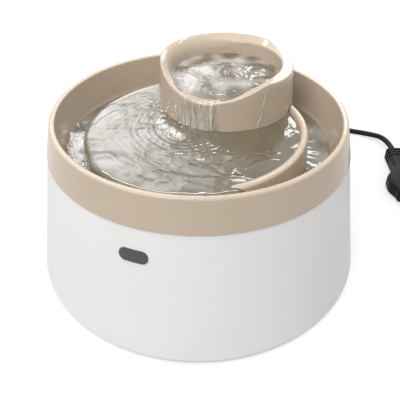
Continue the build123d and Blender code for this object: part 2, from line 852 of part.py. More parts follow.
def make_grommet():
    """Rubber block in the slot of the wall, with a flange inside and outside."""
    low = exit_height - grommet_width / 2
    inner = reservoir_top_radius - reservoir_wall
    face_in = inner - grommet_inside
    face_out = grommet_face()
    block_shape = exit_slot(grommet_width, low, reservoir_height, face_in, face_out)
    flange = exit_slot(grommet_width + grommet_lip * 2, low - grommet_lip, reservoir_height,
                       face_in, face_out)
    wall = turned([(reservoir_radius(foot_height) - reservoir_wall, foot_height), (base_radius, foot_height),
                   (reservoir_top_radius, reservoir_height), (inner, reservoir_height)])
    body = block_shape + (flange - wall)
    frame = exit_frame(exit_height)
    bore = Plane(frame.origin + frame.x_dir * (face_in - cut_over), z_dir=frame.x_dir) * Circle(cord_radius)
    return body - extrude(bore, face_out - face_in + cut_over * 2)


def grommet_face():
    low = exit_height - grommet_width / 2
    return reservoir_radius(low) + grommet_proud


def make_relief():
    start = grommet_face()
    frame = exit_frame(exit_height)
    place = Plane(frame.origin + frame.x_dir * start, z_dir=frame.x_dir)
    cone = extrude(place * Circle(relief_radius), relief_length, taper=relief_taper)
    step = relief_length / (relief_groove_count + 1)
    core = cord_radius + (relief_radius - cord_radius) * relief_core_share
    for ring in range(relief_groove_count):
        at = start + step * (ring + 1)
        groove = Plane(frame.origin + frame.x_dir * at, z_dir=frame.x_dir)
        ring = Circle(relief_radius) - Circle(core)
        cone -= extrude(groove * ring, relief_groove)
    return cone - extrude(place * Circle(cord_radius), relief_length)


def coil_point(azimuth):
    """Middle of the coil's turns at an azimuth, on the table."""
    angle = math.radians(azimuth)
    return (coil_x + coil_radius * math.cos(angle), coil_y + coil_radius * math.sin(angle), cord_radius)


def plug_frame():
    heading = math.radians(plug_heading)
    ahead = (math.cos(heading), math.sin(heading), 0)
    return Plane((plug_x, plug_y, 0), x_dir=ahead, z_dir=(0, 0, 1))


def behind_plug(distance):
    """Point on the plug's axis, behind its neck."""
    frame = plug_frame()
    return tuple(frame.origin - frame.x_dir * distance + Vector(0, 0, plug_thickness / 2))


# Route of the lead inside, from the pump to the exit
lead_points = [(boot_x, boot_y, boot_z), (boot_x - 20.3, boot_y, boot_z),
               (boot_x - 28.3, boot_y + 2.8, boot_z + 14.0), (boot_x - 20.3, boot_y + 7.8, boot_z + 31.0),
               exit_point(grommet_face() - 23.9), exit_point(grommet_face())]

# Route outside, from the exit down to the coil
drop_points = [exit_point(grommet_face()), exit_point(grommet_face() + 37.0),
               (coil_x + 70.0, coil_y, exit_height - 28.0), (coil_x + 52.0, coil_y - 8.0, cord_radius),
               coil_point(coil_entry)]

# Route on the table, from the coil to the plug
run_points = [coil_point(coil_leave), (coil_x + 47.0, coil_y + 27.0, cord_radius),
              (coil_x + 94.0, coil_y + 25.5, cord_radius), (coil_x + 140.0, coil_y + 22.5, cord_radius),
              (coil_x + 186.0, coil_y + 16.6, cord_radius), (plug_x - 51.9, plug_y + 55.5, cord_radius),
              (plug_x - 14.9, plug_y + 44.0, cord_radius), behind_plug(26.5), behind_plug(0)]


def make_coil():
    inner = coil_radius - coil_width / 2
    outer = coil_radius + coil_width / 2
    return Pos(coil_x, coil_y, 0) * (rod_z(outer, 0, coil_height) - rod_z(inner, 0, coil_height))


def make_tie():
    inner = coil_radius - coil_width / 2 - tie_thickness
    outer = coil_radius + coil_width / 2 + tie_thickness
    half = tie_width / 2
    band = block((-outer, -half, 0), (-inner, half, coil_height + tie_thickness))
    inside = inner + tie_thickness
    outside = outer - tie_thickness
    hole = turned([(inside, 0), (outside, 0), (outside, coil_height), (inside, coil_height)])
    return Pos(coil_x, coil_y, 0) * (band - hole)


def make_gland():
    """Boot where the lead leaves the pump."""
    return rod_gland(boot_radius, boot_length) - rod_gland(cord_radius, boot_length)


# ---------------------------------------------------------------- plug
def make_plug():
    """Flat two-pin plug: ribbed neck, waist, flare and a narrower front."""
    flare = plug_width / 2
    neck = flare * 0.49
    half = [(0, neck, plug_corner), (plug_length * 0.44, flare * 0.475, plug_waist_curve),
            (plug_length * 0.66, flare, plug_flare_curve), (plug_length * 0.79, flare, plug_shoulder_curve),
            (plug_length, flare * 0.74, plug_corner)]
    left = [(x, -y, r) for x, y, r in reversed(half)]
    body = extrude(plug_frame() * outline(half + left), plug_thickness)
    top = body.faces().sort_by(Axis.Z)[-1].edges()
    bottom = body.faces().sort_by(Axis.Z)[0].edges()
    body = chamfer(top + bottom, plug_edge)
    frame = plug_frame()
    core_height = plug_thickness - plug_groove_depth * 2
    core_width = (neck - plug_groove_depth) * 2
    for rib in range(plug_rib_count):
        at = plug_rib_start + rib * plug_rib_step
        groove = Pos(0, 0, plug_thickness / 2) * Plane(frame.origin + frame.x_dir * at, z_dir=frame.x_dir)
        ring = extrude(groove * Rectangle(plug_width, plug_width), plug_groove)
        core = extrude(groove * RectangleRounded(core_height, core_width, plug_groove_depth * 2), plug_groove)
        body -= ring - core
    return body


def make_pins():
    frame = plug_frame()
    pins = []
    for side in (-1, 1):
        foot = frame.origin + frame.x_dir * plug_length + frame.y_dir * (side * pin_spacing / 2)
        place = Plane(foot + Vector(0, 0, plug_thickness / 2), z_dir=frame.x_dir)
        pin = extrude(place * Circle(pin_radius), pin_length)
        pins.append(chamfer(pin.faces().sort_by(frame_axis())[-1].edges(), pin_radius * 0.4))
    return Compound(children=pins)


def frame_axis():
    frame = plug_frame()
    return Axis(frame.origin, frame.x_dir)


# ---------------------------------------------------------------- all pieces
pieces = {
    "reservoir": make_reservoir,
    "reservoir_feet": make_feet,
    "front_plate": make_plate,
    "bowl": make_bowl,
    "drinking_tray": make_tray,
    "spout_cup": make_cup,
    "pump_housing": make_pump_housing,
    "impeller_chamber": make_impeller_chamber,
    "chamber_cover": make_chamber_cover,
    "shaft_bushes": make_bushes,
    "impeller_shaft": make_shaft,
    "impeller": make_impeller,
    "rotor_magnet": make_magnet,
    "inlet_cover": make_inlet_cover,
    "intake_sponge": make_sponge,
    "flow_regulator": make_regulator,
    "suction_cups": make_suction_cups,
    "riser_tube": make_riser,
    "riser_sleeve": make_sleeve,
    "riser_seal": make_seal,
    "filter_basket": make_filter_basket,
    "filter_pad": make_filter_pad,
    "filter_lid": make_filter_lid,
    "cable_grommet": make_grommet,
    "strain_relief": make_relief,
    "lead_boot": make_gland,
    "pump_lead": lambda: cord_tube("pump_lead", lead_points),
    "cord_drop": lambda: cord_tube("cord_drop", drop_points),
    "cord_coil": make_coil,
    "coil_tie": make_tie,
    "cord_run": lambda: cord_tube("cord_run", run_points),
    "plug_body": make_plug,
    "plug_pins": make_pins,
}

os.makedirs("parts", exist_ok=True)
for node, make in pieces.items():
    export_step(make(), "parts/%s.step" % node)
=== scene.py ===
import bpy
import bmesh
import math
import random
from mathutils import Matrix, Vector, noise


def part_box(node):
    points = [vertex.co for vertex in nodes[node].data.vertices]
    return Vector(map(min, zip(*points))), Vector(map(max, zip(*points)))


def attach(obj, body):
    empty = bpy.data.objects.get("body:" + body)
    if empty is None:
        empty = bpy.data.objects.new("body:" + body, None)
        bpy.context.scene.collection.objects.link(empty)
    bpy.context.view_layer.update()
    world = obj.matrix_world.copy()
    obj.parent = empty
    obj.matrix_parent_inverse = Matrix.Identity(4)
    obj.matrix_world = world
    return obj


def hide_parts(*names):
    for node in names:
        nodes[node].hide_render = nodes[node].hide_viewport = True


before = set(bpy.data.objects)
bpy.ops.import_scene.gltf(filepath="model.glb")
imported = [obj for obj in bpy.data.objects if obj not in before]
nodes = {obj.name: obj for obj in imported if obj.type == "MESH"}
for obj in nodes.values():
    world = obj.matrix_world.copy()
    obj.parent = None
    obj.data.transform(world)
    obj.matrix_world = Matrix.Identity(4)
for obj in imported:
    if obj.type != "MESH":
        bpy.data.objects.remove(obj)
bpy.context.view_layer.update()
random.seed(7)
print("frame loaded:", len(nodes), "nodes")

# the view that the fountain is shown in
camera = {"place": (0.0, -0.30305, 0.2755), "tilt": 51.8, "lens": 46.66, "sensor": 36.0,
          "shift": 0.00325, "near": 0.01, "far": 20.0}


def placeCamera():
    data = bpy.data.cameras.new("camera")
    data.lens = camera["lens"]
    data.sensor_width = camera["sensor"]
    data.shift_x = camera["shift"]
    data.clip_start = camera["near"]
    data.clip_end = camera["far"]
    eye = bpy.data.objects.new("camera", data)
    eye.location = camera["place"]
    eye.rotation_euler = (math.radians(camera["tilt"]), 0.0, 0.0)
    bpy.context.scene.collection.objects.link(eye)
    bpy.context.scene.camera = eye


placeCamera()
print("camera placed")

# mains lead: out of the grommet, down, five and a half turns of coil, then along the table
lead = {
    "diameter": 0.005,
    "length": 1.42,
    "rounding": 5,
    "steps": 8,                     # between two points of the route
    "exit": (-0.01474, 0.10488, 0.076),
    "drop": [(-0.01474, 0.10488, 0.076), (-0.01989, 0.14152, 0.076), (-0.028, 0.15701, 0.048),
             (-0.046, 0.14901, 0.0025)],
    "run": [(-0.051, 0.18401, 0.0025), (-0.004, 0.18251, 0.0025), (0.042, 0.17951, 0.0025),
            (0.088, 0.17361, 0.0025), (0.13301, 0.16551, 0.0025), (0.17001, 0.15401, 0.0025),
            (0.18644, 0.13647, 0.00685), (0.18491, 0.11001, 0.00685)],
}
coil = {
    "centre": (-0.098, 0.15701),
    "entry": -68.0,                 # azimuth where the lead comes in, and it winds clockwise
    "turns": 5.5611,
    "perTurn": 14,
    "columns": (0.0225, 0.0275, 0.0325),
    "layers": (0.0025, 0.0075, 0.0125),
    # (turn where the change starts, column, layer)
    "cells": [(-1.0, 1, 0), (0.85, 0, 0), (1.70, 0, 1), (2.55, 1, 1), (3.40, 1, 2), (4.25, 2, 1),
              (5.10, 2, 0)],
    "change": 0.15,
}


def smoothStep(low, high, value):
    share = min(max((value - low) / (high - low), 0.0), 1.0)
    return share * share * (3.0 - 2.0 * share)


def mix(first, second, share):
    return first + (second - first) * share


# rises over the first pair of values and falls again over the second
def between(rise, fall, value):
    return smoothStep(*rise, value) * (1.0 - smoothStep(*fall, value))


def clamp(value):
    return min(max(value, 0.0), 1.0)


def onCircle(centre, radius, azimuth):
    return centre[0] + radius * math.cos(azimuth), centre[1] + radius * math.sin(azimuth)


def coilCell(turn):
    radius = coil["columns"][coil["cells"][0][1]]
    height = coil["layers"][coil["cells"][0][2]]
    for start, column, layer in coil["cells"][1:]:
        share = smoothStep(start, start + coil["change"], turn)
        radius = mix(radius, coil["columns"][column], share)
        height = mix(height, coil["layers"][layer], share)
    return radius, height


def coilPoints():
    points = []
    steps = round(coil["turns"] * coil["perTurn"])
    for step in range(steps + 1):
        turn = coil["turns"] * step / steps
        radius, height = coilCell(turn)
        azimuth = math.radians(coil["entry"] - 360.0 * turn)
        points.append((*onCircle(coil["centre"], radius, azimuth), height))
    return points


def makeLead():
    curve = bpy.data.curves.new("mainsLead", "CURVE")
    curve.dimensions = "3D"
    curve.bevel_depth = 1.0     # times each point's radius, because a curve's box grows by that radius
    curve.bevel_resolution = lead["rounding"]
    curve.resolution_u = lead["steps"]
    curve.use_fill_caps = True
    points = lead["drop"] + coilPoints() + lead["run"]
    spline = curve.splines.new("NURBS")
    spline.points.add(len(points) - 1)
    for point, place in zip(spline.points, points):
        point.co = (*place, 1.0)
        point.radius = lead["diameter"] / 2
    spline.order_u = 3
    spline.use_endpoint_u = True
    cordPiece = bpy.data.objects.new("mainsLead", curve)
    bpy.context.scene.collection.objects.link(cordPiece)
    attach(cordPiece, "base")
    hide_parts("cord_drop", "cord_coil", "cord_run")
    return cordPiece


leadPiece = makeLead()
print("mains lead laid:", len(leadPiece.data.splines[0].points), "points")


# node helpers for the materials
def add(tree, kind, inputs=None, **settings):
    node = tree.nodes.new(kind)
    for key, value in settings.items():
        setattr(node, key, value)
    for key, value in (inputs or {}).items():
        if isinstance(value, bpy.types.NodeSocket):
            tree.links.new(value, node.inputs[key])
        else:
            node.inputs[key].default_value = value
    return node


def newTree(name):
    material = bpy.data.materials.new(name)
    material.use_nodes = True
    material.node_tree.nodes.clear()
    return material, material.node_tree


def noiseField(tree, place, scale, detail=4.0, roughness=0.55, distortion=0.0):
    node = add(tree, "ShaderNodeTexNoise", {"Vector": place, "Scale": scale, "Detail": detail,
                                            "Roughness": roughness, "Distortion": distortion})
    return node.outputs[0]


def spread(tree, value, low, high, outLow, outHigh):
    node = add(tree, "ShaderNodeMapRange", {"Value": value, "From Min": low, "From Max": high,
                                            "To Min": outLow, "To Max": outHigh})
    return node.outputs[0]


def mixColours(tree, share, first, second):
    node = add(tree, "ShaderNodeMix", data_type="RGBA")
    for index, value in ((0, share), (6, first), (7, second)):
        if isinstance(value, bpy.types.NodeSocket):
            tree.links.new(value, node.inputs[index])
        else:
            node.inputs[index].default_value = value if index == 0 else (*value, 1.0)
    return node.outputs[2]


def calculate(tree, operation, first, second=0.0):
    node = add(tree, "ShaderNodeMath", {0: first, 1: second}, operation=operation)
    return node.outputs[0]


def raised(tree, height, strength, distance, normal=None):
    inputs = {"Height": height, "Strength": strength, "Distance": distance}
    if normal is not None:
        inputs["Normal"] = normal
    return add(tree, "ShaderNodeBump", inputs).outputs[0]


def shaded(tree, values):
    shader = add(tree, "ShaderNodeBsdfPrincipled", values)
    result = add(tree, "ShaderNodeOutputMaterial")
    tree.links.new(shader.outputs[0], result.inputs["Surface"])


def objectPlace(tree):
    return add(tree, "ShaderNodeTexCoord").outputs["Object"]


def stretchedPlace(tree, scale):
    return add(tree, "ShaderNodeMapping", {"Vector": objectPlace(tree), "Scale": scale}).outputs[0]


# colour varies broadly to tone and in clouds to pale, the rest is the finish
beigeLook = {"colour": (0.515, 0.424, 0.330), "tone": (0.49, 0.40, 0.31), "pale": (0.54, 0.447, 0.352),
             "roughness": (0.30, 0.38), "coat": 0.45, "coatRoughness": 0.04, "specular": 0.15,
             "grain": 900.0, "wave": 0.0001}
whiteLook = {"colour": (0.80, 0.80, 0.795), "tone": (0.78, 0.78, 0.775), "pale": (0.82, 0.82, 0.815),
             "roughness": (0.42, 0.52), "coat": 0.0, "coatRoughness": 0.12, "specular": 0.15,
             "grain": 700.0, "wave": 0.0002}
plateLook = {"colour": (0.045, 0.045, 0.048), "tone": (0.035, 0.035, 0.037), "pale": (0.07, 0.07, 0.072),
             "roughness": (0.24, 0.34), "coat": 0.3, "coatRoughness": 0.1, "specular": 0.5,
             "grain": 900.0, "wave": 0.0001}
pumpLook = {"colour": (0.03, 0.03, 0.033), "tone": (0.045, 0.045, 0.05), "pale": (0.06, 0.06, 0.065),
            "roughness": (0.42, 0.6), "coat": 0.0, "coatRoughness": 0.3, "specular": 0.5,
            "grain": 1500.0, "wave": 0.0002}
paleLook = {"colour": (0.74, 0.74, 0.71), "tone": (0.68, 0.68, 0.64), "pale": (0.80, 0.80, 0.78),
            "roughness": (0.4, 0.55), "coat": 0.0, "coatRoughness": 0.3, "specular": 0.5,
            "grain": 1200.0, "wave": 0.0002}
rubberLook = {"colour": (0.016, 0.016, 0.016), "tone": (0.026, 0.026, 0.026),
              "pale": (0.042, 0.042, 0.042),
              "roughness": (0.55, 0.75), "coat": 0.0, "coatRoughness": 0.3, "specular": 0.5,
              "grain": 2200.0, "wave": 0.0002}
cordLook = {"colour": (0.007, 0.007, 0.007), "tone": (0.012, 0.012, 0.012), "pale": (0.018, 0.018, 0.018),
            "roughness": (0.38, 0.5), "coat": 0.0, "coatRoughness": 0.3, "specular": 0.1,
            "grain": 1800.0, "wave": 0.0001}


def moulded(name, look):
    material, tree = newTree(name)
    place = objectPlace(tree)
    broad = noiseField(tree, place, 14.0, 3.0)
    cloud = noiseField(tree, place, 55.0, 5.0, 0.6)
    grain = noiseField(tree, place, look["grain"], 3.0, 0.6)
    colour = mixColours(tree, spread(tree, broad, 0.35, 0.65, 0.0, 1.0), look["colour"], look["tone"])
    colour = mixColours(tree, spread(tree, cloud, 0.5, 0.8, 0.0, 0.5), colour, look["pale"])
    roughness = spread(tree, cloud, 0.3, 0.7, *look["roughness"])
    wavy = raised(tree, broad, 0.2, look["wave"] * 10.0)
    fine = raised(tree, grain, 0.04, 0.0002, wavy)
    shaded(tree, {"Base Color": colour, "Roughness": roughness, "Coat Weight": look["coat"],
                  "Coat Roughness": look["coatRoughness"], "Specular IOR Level": look["specular"],
                  "Normal": fine})
    return material


def metalLike(name, colour, tone, roughness, scratch):
    material, tree = newTree(name)
    lines = noiseField(tree, stretchedPlace(tree, (60.0, scratch, 60.0)), 60.0, 4.0, 0.7)
    stain = noiseField(tree, objectPlace(tree), 120.0, 4.0)
    tint = mixColours(tree, spread(tree, stain, 0.4, 0.7, 0.0, 1.0), colour, tone)
    shaded(tree, {"Base Color": tint, "Metallic": 1.0,
                  "Roughness": spread(tree, lines, 0.3, 0.7, *roughness),
                  "Normal": raised(tree, lines, 0.08, 0.0001)})
    return material


def porous(name, colour, poreShade, cell, deep):
    material, tree = newTree(name)
    place = objectPlace(tree)
    pores = add(tree, "ShaderNodeTexVoronoi", {"Vector": place, "Scale": cell}).outputs["Distance"]
    fibres = noiseField(tree, place, cell * 0.7, 6.0, 0.75, 1.5)
    depth = calculate(tree, "MULTIPLY", pores, spread(tree, fibres, 0.3, 0.7, 0.6, 1.3))
    # painted shade: the colour darkens in the pores' hollows
    tint = mixColours(tree, spread(tree, depth, 0.1, 0.6, 0.0, 1.0), poreShade, colour)
    shaded(tree, {"Base Color": tint, "Roughness": 0.95, "Sheen Weight": 0.2,
                  "Normal": raised(tree, depth, 0.8, deep)})
    return material


def clearish(name, colour, tone):
    material, tree = newTree(name)
    place = objectPlace(tree)
    haze = noiseField(tree, place, 90.0, 5.0, 0.6)
    tint = mixColours(tree, haze, colour, tone)
    shaded(tree, {"Base Color": tint, "Roughness": spread(tree, haze, 0.3, 0.7, 0.12, 0.3),
                  "Transmission Weight": 0.35, "Coat Weight": 0.4,
                  "Normal": raised(tree, noiseField(tree, place, 700.0), 0.1, 0.0002)})
    return material


# brown stands for the floor seen through the water, painted darker as shade; grey where it is stirred, and
# on the left painted reflection; white where it foams
waterLook = {"deep": (0.112, 0.092, 0.058), "tone": (0.148, 0.124, 0.084),
             "stirredAndSheen": (0.30, 0.297, 0.285), "foam": (0.60, 0.595, 0.585), "roughness": 0.05,
             "ior": 1.45, "coat": 0.6, "coatIor": 1.5, "coatRoughness": 0.03, "ripple": 0.00007}


def watery(name, look):
    material, tree = newTree(name)
    place = objectPlace(tree)
    cloud = noiseField(tree, place, 30.0, 4.0, 0.55, 0.8)
    fine = noiseField(tree, place, 260.0, 4.0, 0.6, 0.6)
    stirredAndSheen = add(tree, "ShaderNodeAttribute", attribute_name="stirredAndSheen").outputs["Fac"]
    foam = add(tree, "ShaderNodeAttribute", attribute_name="foam").outputs["Fac"]
    tint = mixColours(tree, spread(tree, cloud, 0.35, 0.65, 0.0, 1.0), look["deep"], look["tone"])
    tint = mixColours(tree, stirredAndSheen, tint, look["stirredAndSheen"])
    tint = mixColours(tree, foam, tint, look["foam"])
    shaded(tree, {"Base Color": tint, "Roughness": look["roughness"], "IOR": look["ior"],
                  "Coat Weight": look["coat"], "Coat IOR": look["coatIor"],
                  "Coat Roughness": look["coatRoughness"],
                  "Normal": raised(tree, fine, 0.35, look["ripple"])})
    return material


materials = {
    "beige": moulded("beigeShell", beigeLook),
    "white": moulded("whiteShell", whiteLook),
    "plate": moulded("plainPlate", plateLook),
    "pump": moulded("pumpPlastic", pumpLook),
    "pale": moulded("palePlastic", paleLook),
    "rubber": moulded("blackRubber", rubberLook),
    "cord": moulded("cordSheath", cordLook),
    "plug": moulded("plugMoulding", {**cordLook, "roughness": (0.36, 0.5), "grain": 2400.0}),
    "pin": metalLike("plugPins", (0.62, 0.61, 0.59), (0.5, 0.5, 0.49), (0.18, 0.34), 900.0),
    "steel": metalLike("shaftSteel", (0.58, 0.58, 0.6), (0.48, 0.48, 0.5), (0.14, 0.28), 1500.0),
    "ferrite": metalLike("rotorFerrite", (0.06, 0.06, 0.065), (0.1, 0.1, 0.1), (0.5, 0.7), 60.0),
    "sponge": porous("intakeFoam", (0.05, 0.05, 0.055), (0.004, 0.004, 0.004), 900.0, 0.0012),
    "felt": porous("filterFelt", (0.78, 0.78, 0.74), (0.4, 0.4, 0.37), 1400.0, 0.0008),
    "tube": clearish("riserTube", (0.75, 0.77, 0.77), (0.66, 0.69, 0.68)),
    "silicone": clearish("riserSilicone", (0.66, 0.66, 0.63), (0.56, 0.56, 0.53)),
    "water": watery("fountainWater", waterLook),
    # its paler, pinkish stirred grey is painted reflection of the bright room on the cup's water
    "cupWater": watery("cupWater", {**waterLook, "stirredAndSheen": (0.50, 0.468, 0.452)}),
    # a lighter copy of the water: stirred grey and foam painted paler, as painted light for the channel's
    # shade; the drops use it too
    "spray": watery("channelSprayLit", {**waterLook, "stirredAndSheen": (0.42, 0.415, 0.40),
                                     "foam": (0.85, 0.845, 0.83)}),
    "film": watery("runningFilm", {**waterLook, "deep": (0.37, 0.31, 0.235), "tone": (0.42, 0.355, 0.275),
                                   "stirredAndSheen": (0.60, 0.55, 0.48)}),
}
nodeMaterials = {
    "reservoir": "white", "reservoir_feet": "rubber", "front_plate": "plate", "bowl": "beige",
    "drinking_tray": "beige", "spout_cup": "beige", "pump_housing": "pump", "impeller_chamber": "pump",
    "chamber_cover": "pump", "shaft_bushes": "rubber", "impeller_shaft": "steel", "impeller": "pale",
    "rotor_magnet": "ferrite", "inlet_cover": "pump", "intake_sponge": "sponge",
    "flow_regulator": "pump", "suction_cups": "rubber", "riser_tube": "tube",
    "riser_sleeve": "silicone", "riser_seal": "silicone",
    "filter_basket": "pale", "filter_pad": "felt", "filter_lid": "pale", "cable_grommet": "rubber",
    "strain_relief": "rubber", "lead_boot": "rubber", "pump_lead": "cord", "cord_drop": "cord",
    "cord_coil": "cord", "coil_tie": "rubber", "cord_run": "cord", "plug_body": "plug", "plug_pins": "pin",
}


# edges that turn by more degrees than this stay sharp
sharpFrom = {"solids": 32.0, "cup": 38.0, "moulding": 50.0, "water": 70.0, "drops": 80.0}


def dressNodes():
    for name, key in nodeMaterials.items():
        piece = nodes[name]
        piece.data.materials.clear()
        piece.data.materials.append(materials[key])
        for polygon in piece.data.polygons:
            polygon.use_smooth = True
        piece.data.set_sharp_from_angle(angle=math.radians(sharpFrom["solids"]))
    leadPiece.data.materials.append(materials["cord"])


dressNodes()
print("materials on", len(nodeMaterials), "nodes")


# mesh helpers
def meshPiece(name, points, faces, body, material, edges, marks=None):
    mesh = bpy.data.meshes.new(name)
    mesh.from_pydata([tuple(point) for point in points], [], faces)
    for markName, values in (marks or {}).items():
        mark = mesh.attributes.new(markName, "FLOAT", "POINT")
        mark.data.foreach_set("value", values)
    work = bmesh.new()
    work.from_mesh(mesh)
    bmesh.ops.recalc_face_normals(work, faces=work.faces)
    work.to_mesh(mesh)
    work.free()
    mesh.materials.append(materials[material])
    for polygon in mesh.polygons:
        polygon.use_smooth = True
    mesh.set_sharp_from_angle(angle=math.radians(sharpFrom[edges]))
    piece = bpy.data.objects.new(name, mesh)
    bpy.context.scene.collection.objects.link(piece)
    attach(piece, body)
    return piece


def wrapFaces(rows, columns, closeRows, closeColumns):
    faces = []
    for row in range(rows if closeRows else rows - 1):
        for column in range(columns if closeColumns else columns - 1):
            nextRow = (row + 1) % rows
            nextColumn = (column + 1) % columns
            faces.append((row * columns + column, nextRow * columns + column,
                          nextRow * columns + nextColumn, row * columns + nextColumn))
    return faces


# a tube along its rows, closed by a face at each end
def tubeFaces(rows, sides):
    faces = wrapFaces(rows, sides, False, True)
    faces.append(tuple(range(sides)))
    faces.append(tuple(range((rows - 1) * sides, rows * sides)))
    return faces


# a sheet with its underside, closed along its rim
def stripFaces(columns, rows):
    count = columns * rows
    faces = wrapFaces(columns, rows, False, False)
    faces += [tuple(i + count for i in reversed(face)) for face in faces]
    rim = list(range(rows)) + [column * rows + rows - 1 for column in range(1, columns)]
    rim += [(columns - 1) * rows + row for row in range(rows - 2, -1, -1)]
    rim += [column * rows for column in range(columns - 2, 0, -1)]
    for first, second in zip(rim, rim[1:] + rim[:1]):
        faces.append((first, second, second + count, first + count))
    return faces


def bend(first, corner, last, steps):
    points = []
    for step in range(steps + 1):
        t = step / steps
        points.append(tuple((1 - t) ** 2 * first[i] + 2 * t * (1 - t) * corner[i] + t * t * last[i]
                            for i in range(len(first))))
    return points


def softMin(first, second, blend):
    share = clamp(0.5 + 0.5 * (second - first) / blend)
    return mix(second, first, share) - blend * share * (1.0 - share)


def field(x, y, scale, layer):
    return noise.noise(Vector((x * scale, y * scale, layer)))


# across and up on a squarish loop that reaches from -1 to 1
def squarish(angle, power):
    across = math.copysign(abs(math.cos(angle)) ** power, math.cos(angle))
    up = math.copysign(abs(math.sin(angle)) ** power, math.sin(angle))
    return across, up


# spout cup: its rim falls inwards, and the sloping land on the right and the lip at the front left cut it
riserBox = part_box("riser_tube")
cupX = (riserBox[0][0] + riserBox[1][0]) / 2
cupY = (riserBox[0][1] + riserBox[1][1]) / 2
cupCentre = (cupX, cupY)
spoutCup = {
    "footRadius": 0.0476, "topRadius": 0.0450, "seat": 0.1023, "top": 0.1350, "brimRadius": 0.0376,
    "brimFall": 0.0035, "basinRadius": 0.0356, "floor": 0.1047, "wall": 0.0024, "basinWall": 0.0019,
    "basinCorner": 0.008, "cornerLean": 0.0008, "bore": 0.0046, "boreFlat": 0.016, "hollowTop": 0.1189,
    "landDirection": -15.0, "landDrop": 0.0045, "landSpread": 66.0, "landBlend": 0.0002,
    "lipDirection": -113.0, "lipHeight": 0.1222, "lipCurve": 0.069, "lipBlend": 0.0022,
    # towards the lip the inside widens
    "bulge": 0.0056, "bulgeFrom": (-160.0, -134.0), "bulgeTo": (-92.0, -66.0),
    "bulgeHeight": (0.1120, 0.1205),
    # the rim's edges, of which the inner one is rounded far down behind
    "outerEdge": 0.0009, "lipEdge": 0.0009, "flareAcross": 0.0058, "flareDown": 0.0090,
    "flareFrom": (54.0, 122.0), "flareTo": (195.0, 235.0),
    "spokes": 240, "outsideSteps": 8, "rimSteps": 7, "insideSteps": 11, "flareSteps": 10, "bendSteps": 6,
}


def rimHeight(radius, azimuth):
    cup = spoutCup
    inward = (cup["topRadius"] - radius) / (cup["topRadius"] - cup["brimRadius"])
    brim = cup["top"] - cup["brimFall"] * inward
    slope = cup["landDrop"] / (cup["topRadius"] * (1.0 - math.cos(math.radians(cup["landSpread"]))))
    along = radius * math.cos(azimuth - math.radians(cup["landDirection"]))
    land = cup["top"] - cup["landDrop"] + slope * (cup["topRadius"] - along)
    height = softMin(brim, land, cup["landBlend"])
    ahead, across = onCircle((0.0, 0.0), radius, azimuth - math.radians(cup["lipDirection"]))
    if ahead > 0.0:
        trough = cup["lipHeight"] + cup["lipCurve"] - math.sqrt(cup["lipCurve"] ** 2 - across ** 2)
        height = softMin(height, trough, cup["lipBlend"])
    return min(height, cup["top"])


def cupOuter(height):
    share = (height - spoutCup["seat"]) / (spoutCup["top"] - spoutCup["seat"])
    return mix(spoutCup["footRadius"], spoutCup["topRadius"], share)


def towardsLip(azimuth):
    degrees = (math.degrees(azimuth) + 180.0) % 360.0 - 180.0
    return between(spoutCup["bulgeFrom"], spoutCup["bulgeTo"], degrees)


def cupInner(height, azimuth):
    share = (height - spoutCup["floor"]) / (spoutCup["top"] - spoutCup["brimFall"] - spoutCup["floor"])
    radius = mix(spoutCup["basinRadius"], spoutCup["brimRadius"], share)
    lifted = smoothStep(*spoutCup["bulgeHeight"], height)
    return radius + spoutCup["bulge"] * towardsLip(azimuth) * lifted


# radius and height round the cup's wall: up the outside, over the rim, down into the basin, and the hollow
def cupProfile(azimuth):
    cup = spoutCup
    foot, floor, corner = cup["seat"], cup["floor"], cup["basinCorner"]
    outerTop = rimHeight(cup["topRadius"], azimuth)
    innerTop = rimHeight(cupInner(cup["top"] - cup["brimFall"], azimuth), azimuth)
    outer, inner = cupOuter(outerTop), cupInner(innerTop, azimuth)
    behind = between(cup["flareFrom"], cup["flareTo"], math.degrees(azimuth) % 360.0)
    edgeOut = min(cup["outerEdge"], (outer - inner) * 0.5)
    across = min(mix(cup["lipEdge"], cup["flareAcross"], behind), (outer - inner - edgeOut) * 0.9)
    down = mix(cup["lipEdge"], cup["flareDown"], behind)
    shoulder = outerTop - edgeOut
    points = []
    for step in range(cup["outsideSteps"]):
        height = mix(foot, shoulder, step / cup["outsideSteps"])
        points.append((cupOuter(height), height))
    points += bend((cupOuter(shoulder), shoulder), (outer, outerTop),
                   (outer - edgeOut, rimHeight(outer - edgeOut, azimuth)), cup["bendSteps"])
    for step in range(1, cup["rimSteps"]):
        radius = mix(outer - edgeOut, inner + across, step / cup["rimSteps"])
        points.append((radius, rimHeight(radius, azimuth)))
    points += bend((inner + across, rimHeight(inner + across, azimuth)), (inner, innerTop),
                   (cupInner(innerTop - down, azimuth), innerTop - down), cup["flareSteps"])
    knee = floor + corner
    for step in range(1, cup["insideSteps"]):
        height = mix(innerTop - down, knee, step / cup["insideSteps"])
        points.append((cupInner(height, azimuth), height))
    points += bend((cupInner(knee, azimuth), knee), (cup["basinRadius"], floor),
                   (cup["basinRadius"] - corner, floor), cup["bendSteps"])
    points += [(cup["boreFlat"], floor), (cup["bore"], floor), (cup["bore"], foot), (cup["boreFlat"], foot)]
    skin = cup["basinRadius"] + cup["basinWall"]
    points += bend((skin - corner, foot), (skin, foot), (skin + cup["cornerLean"], foot + corner),
                   cup["bendSteps"])
    hollow = cup["hollowTop"]
    points += [(cupInner(hollow, azimuth) + cup["basinWall"], hollow),
               (cupOuter(hollow) - cup["wall"], hollow), (cup["footRadius"] - cup["wall"], foot)]
    return points


def makeSpoutCup():
    points = []
    for spoke in range(spoutCup["spokes"]):
        azimuth = 2.0 * math.pi * spoke / spoutCup["spokes"]
        profile = cupProfile(azimuth)
        for radius, height in profile:
            points.append((*onCircle(cupCentre, radius, azimuth), height))
    faces = wrapFaces(spoutCup["spokes"], len(profile), True, True)
    piece = meshPiece("spoutCup", points, faces, "cup", "beige", "cup")
    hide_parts("spout_cup")
    return piece


makeSpoutCup()
print("spout cup shaped")

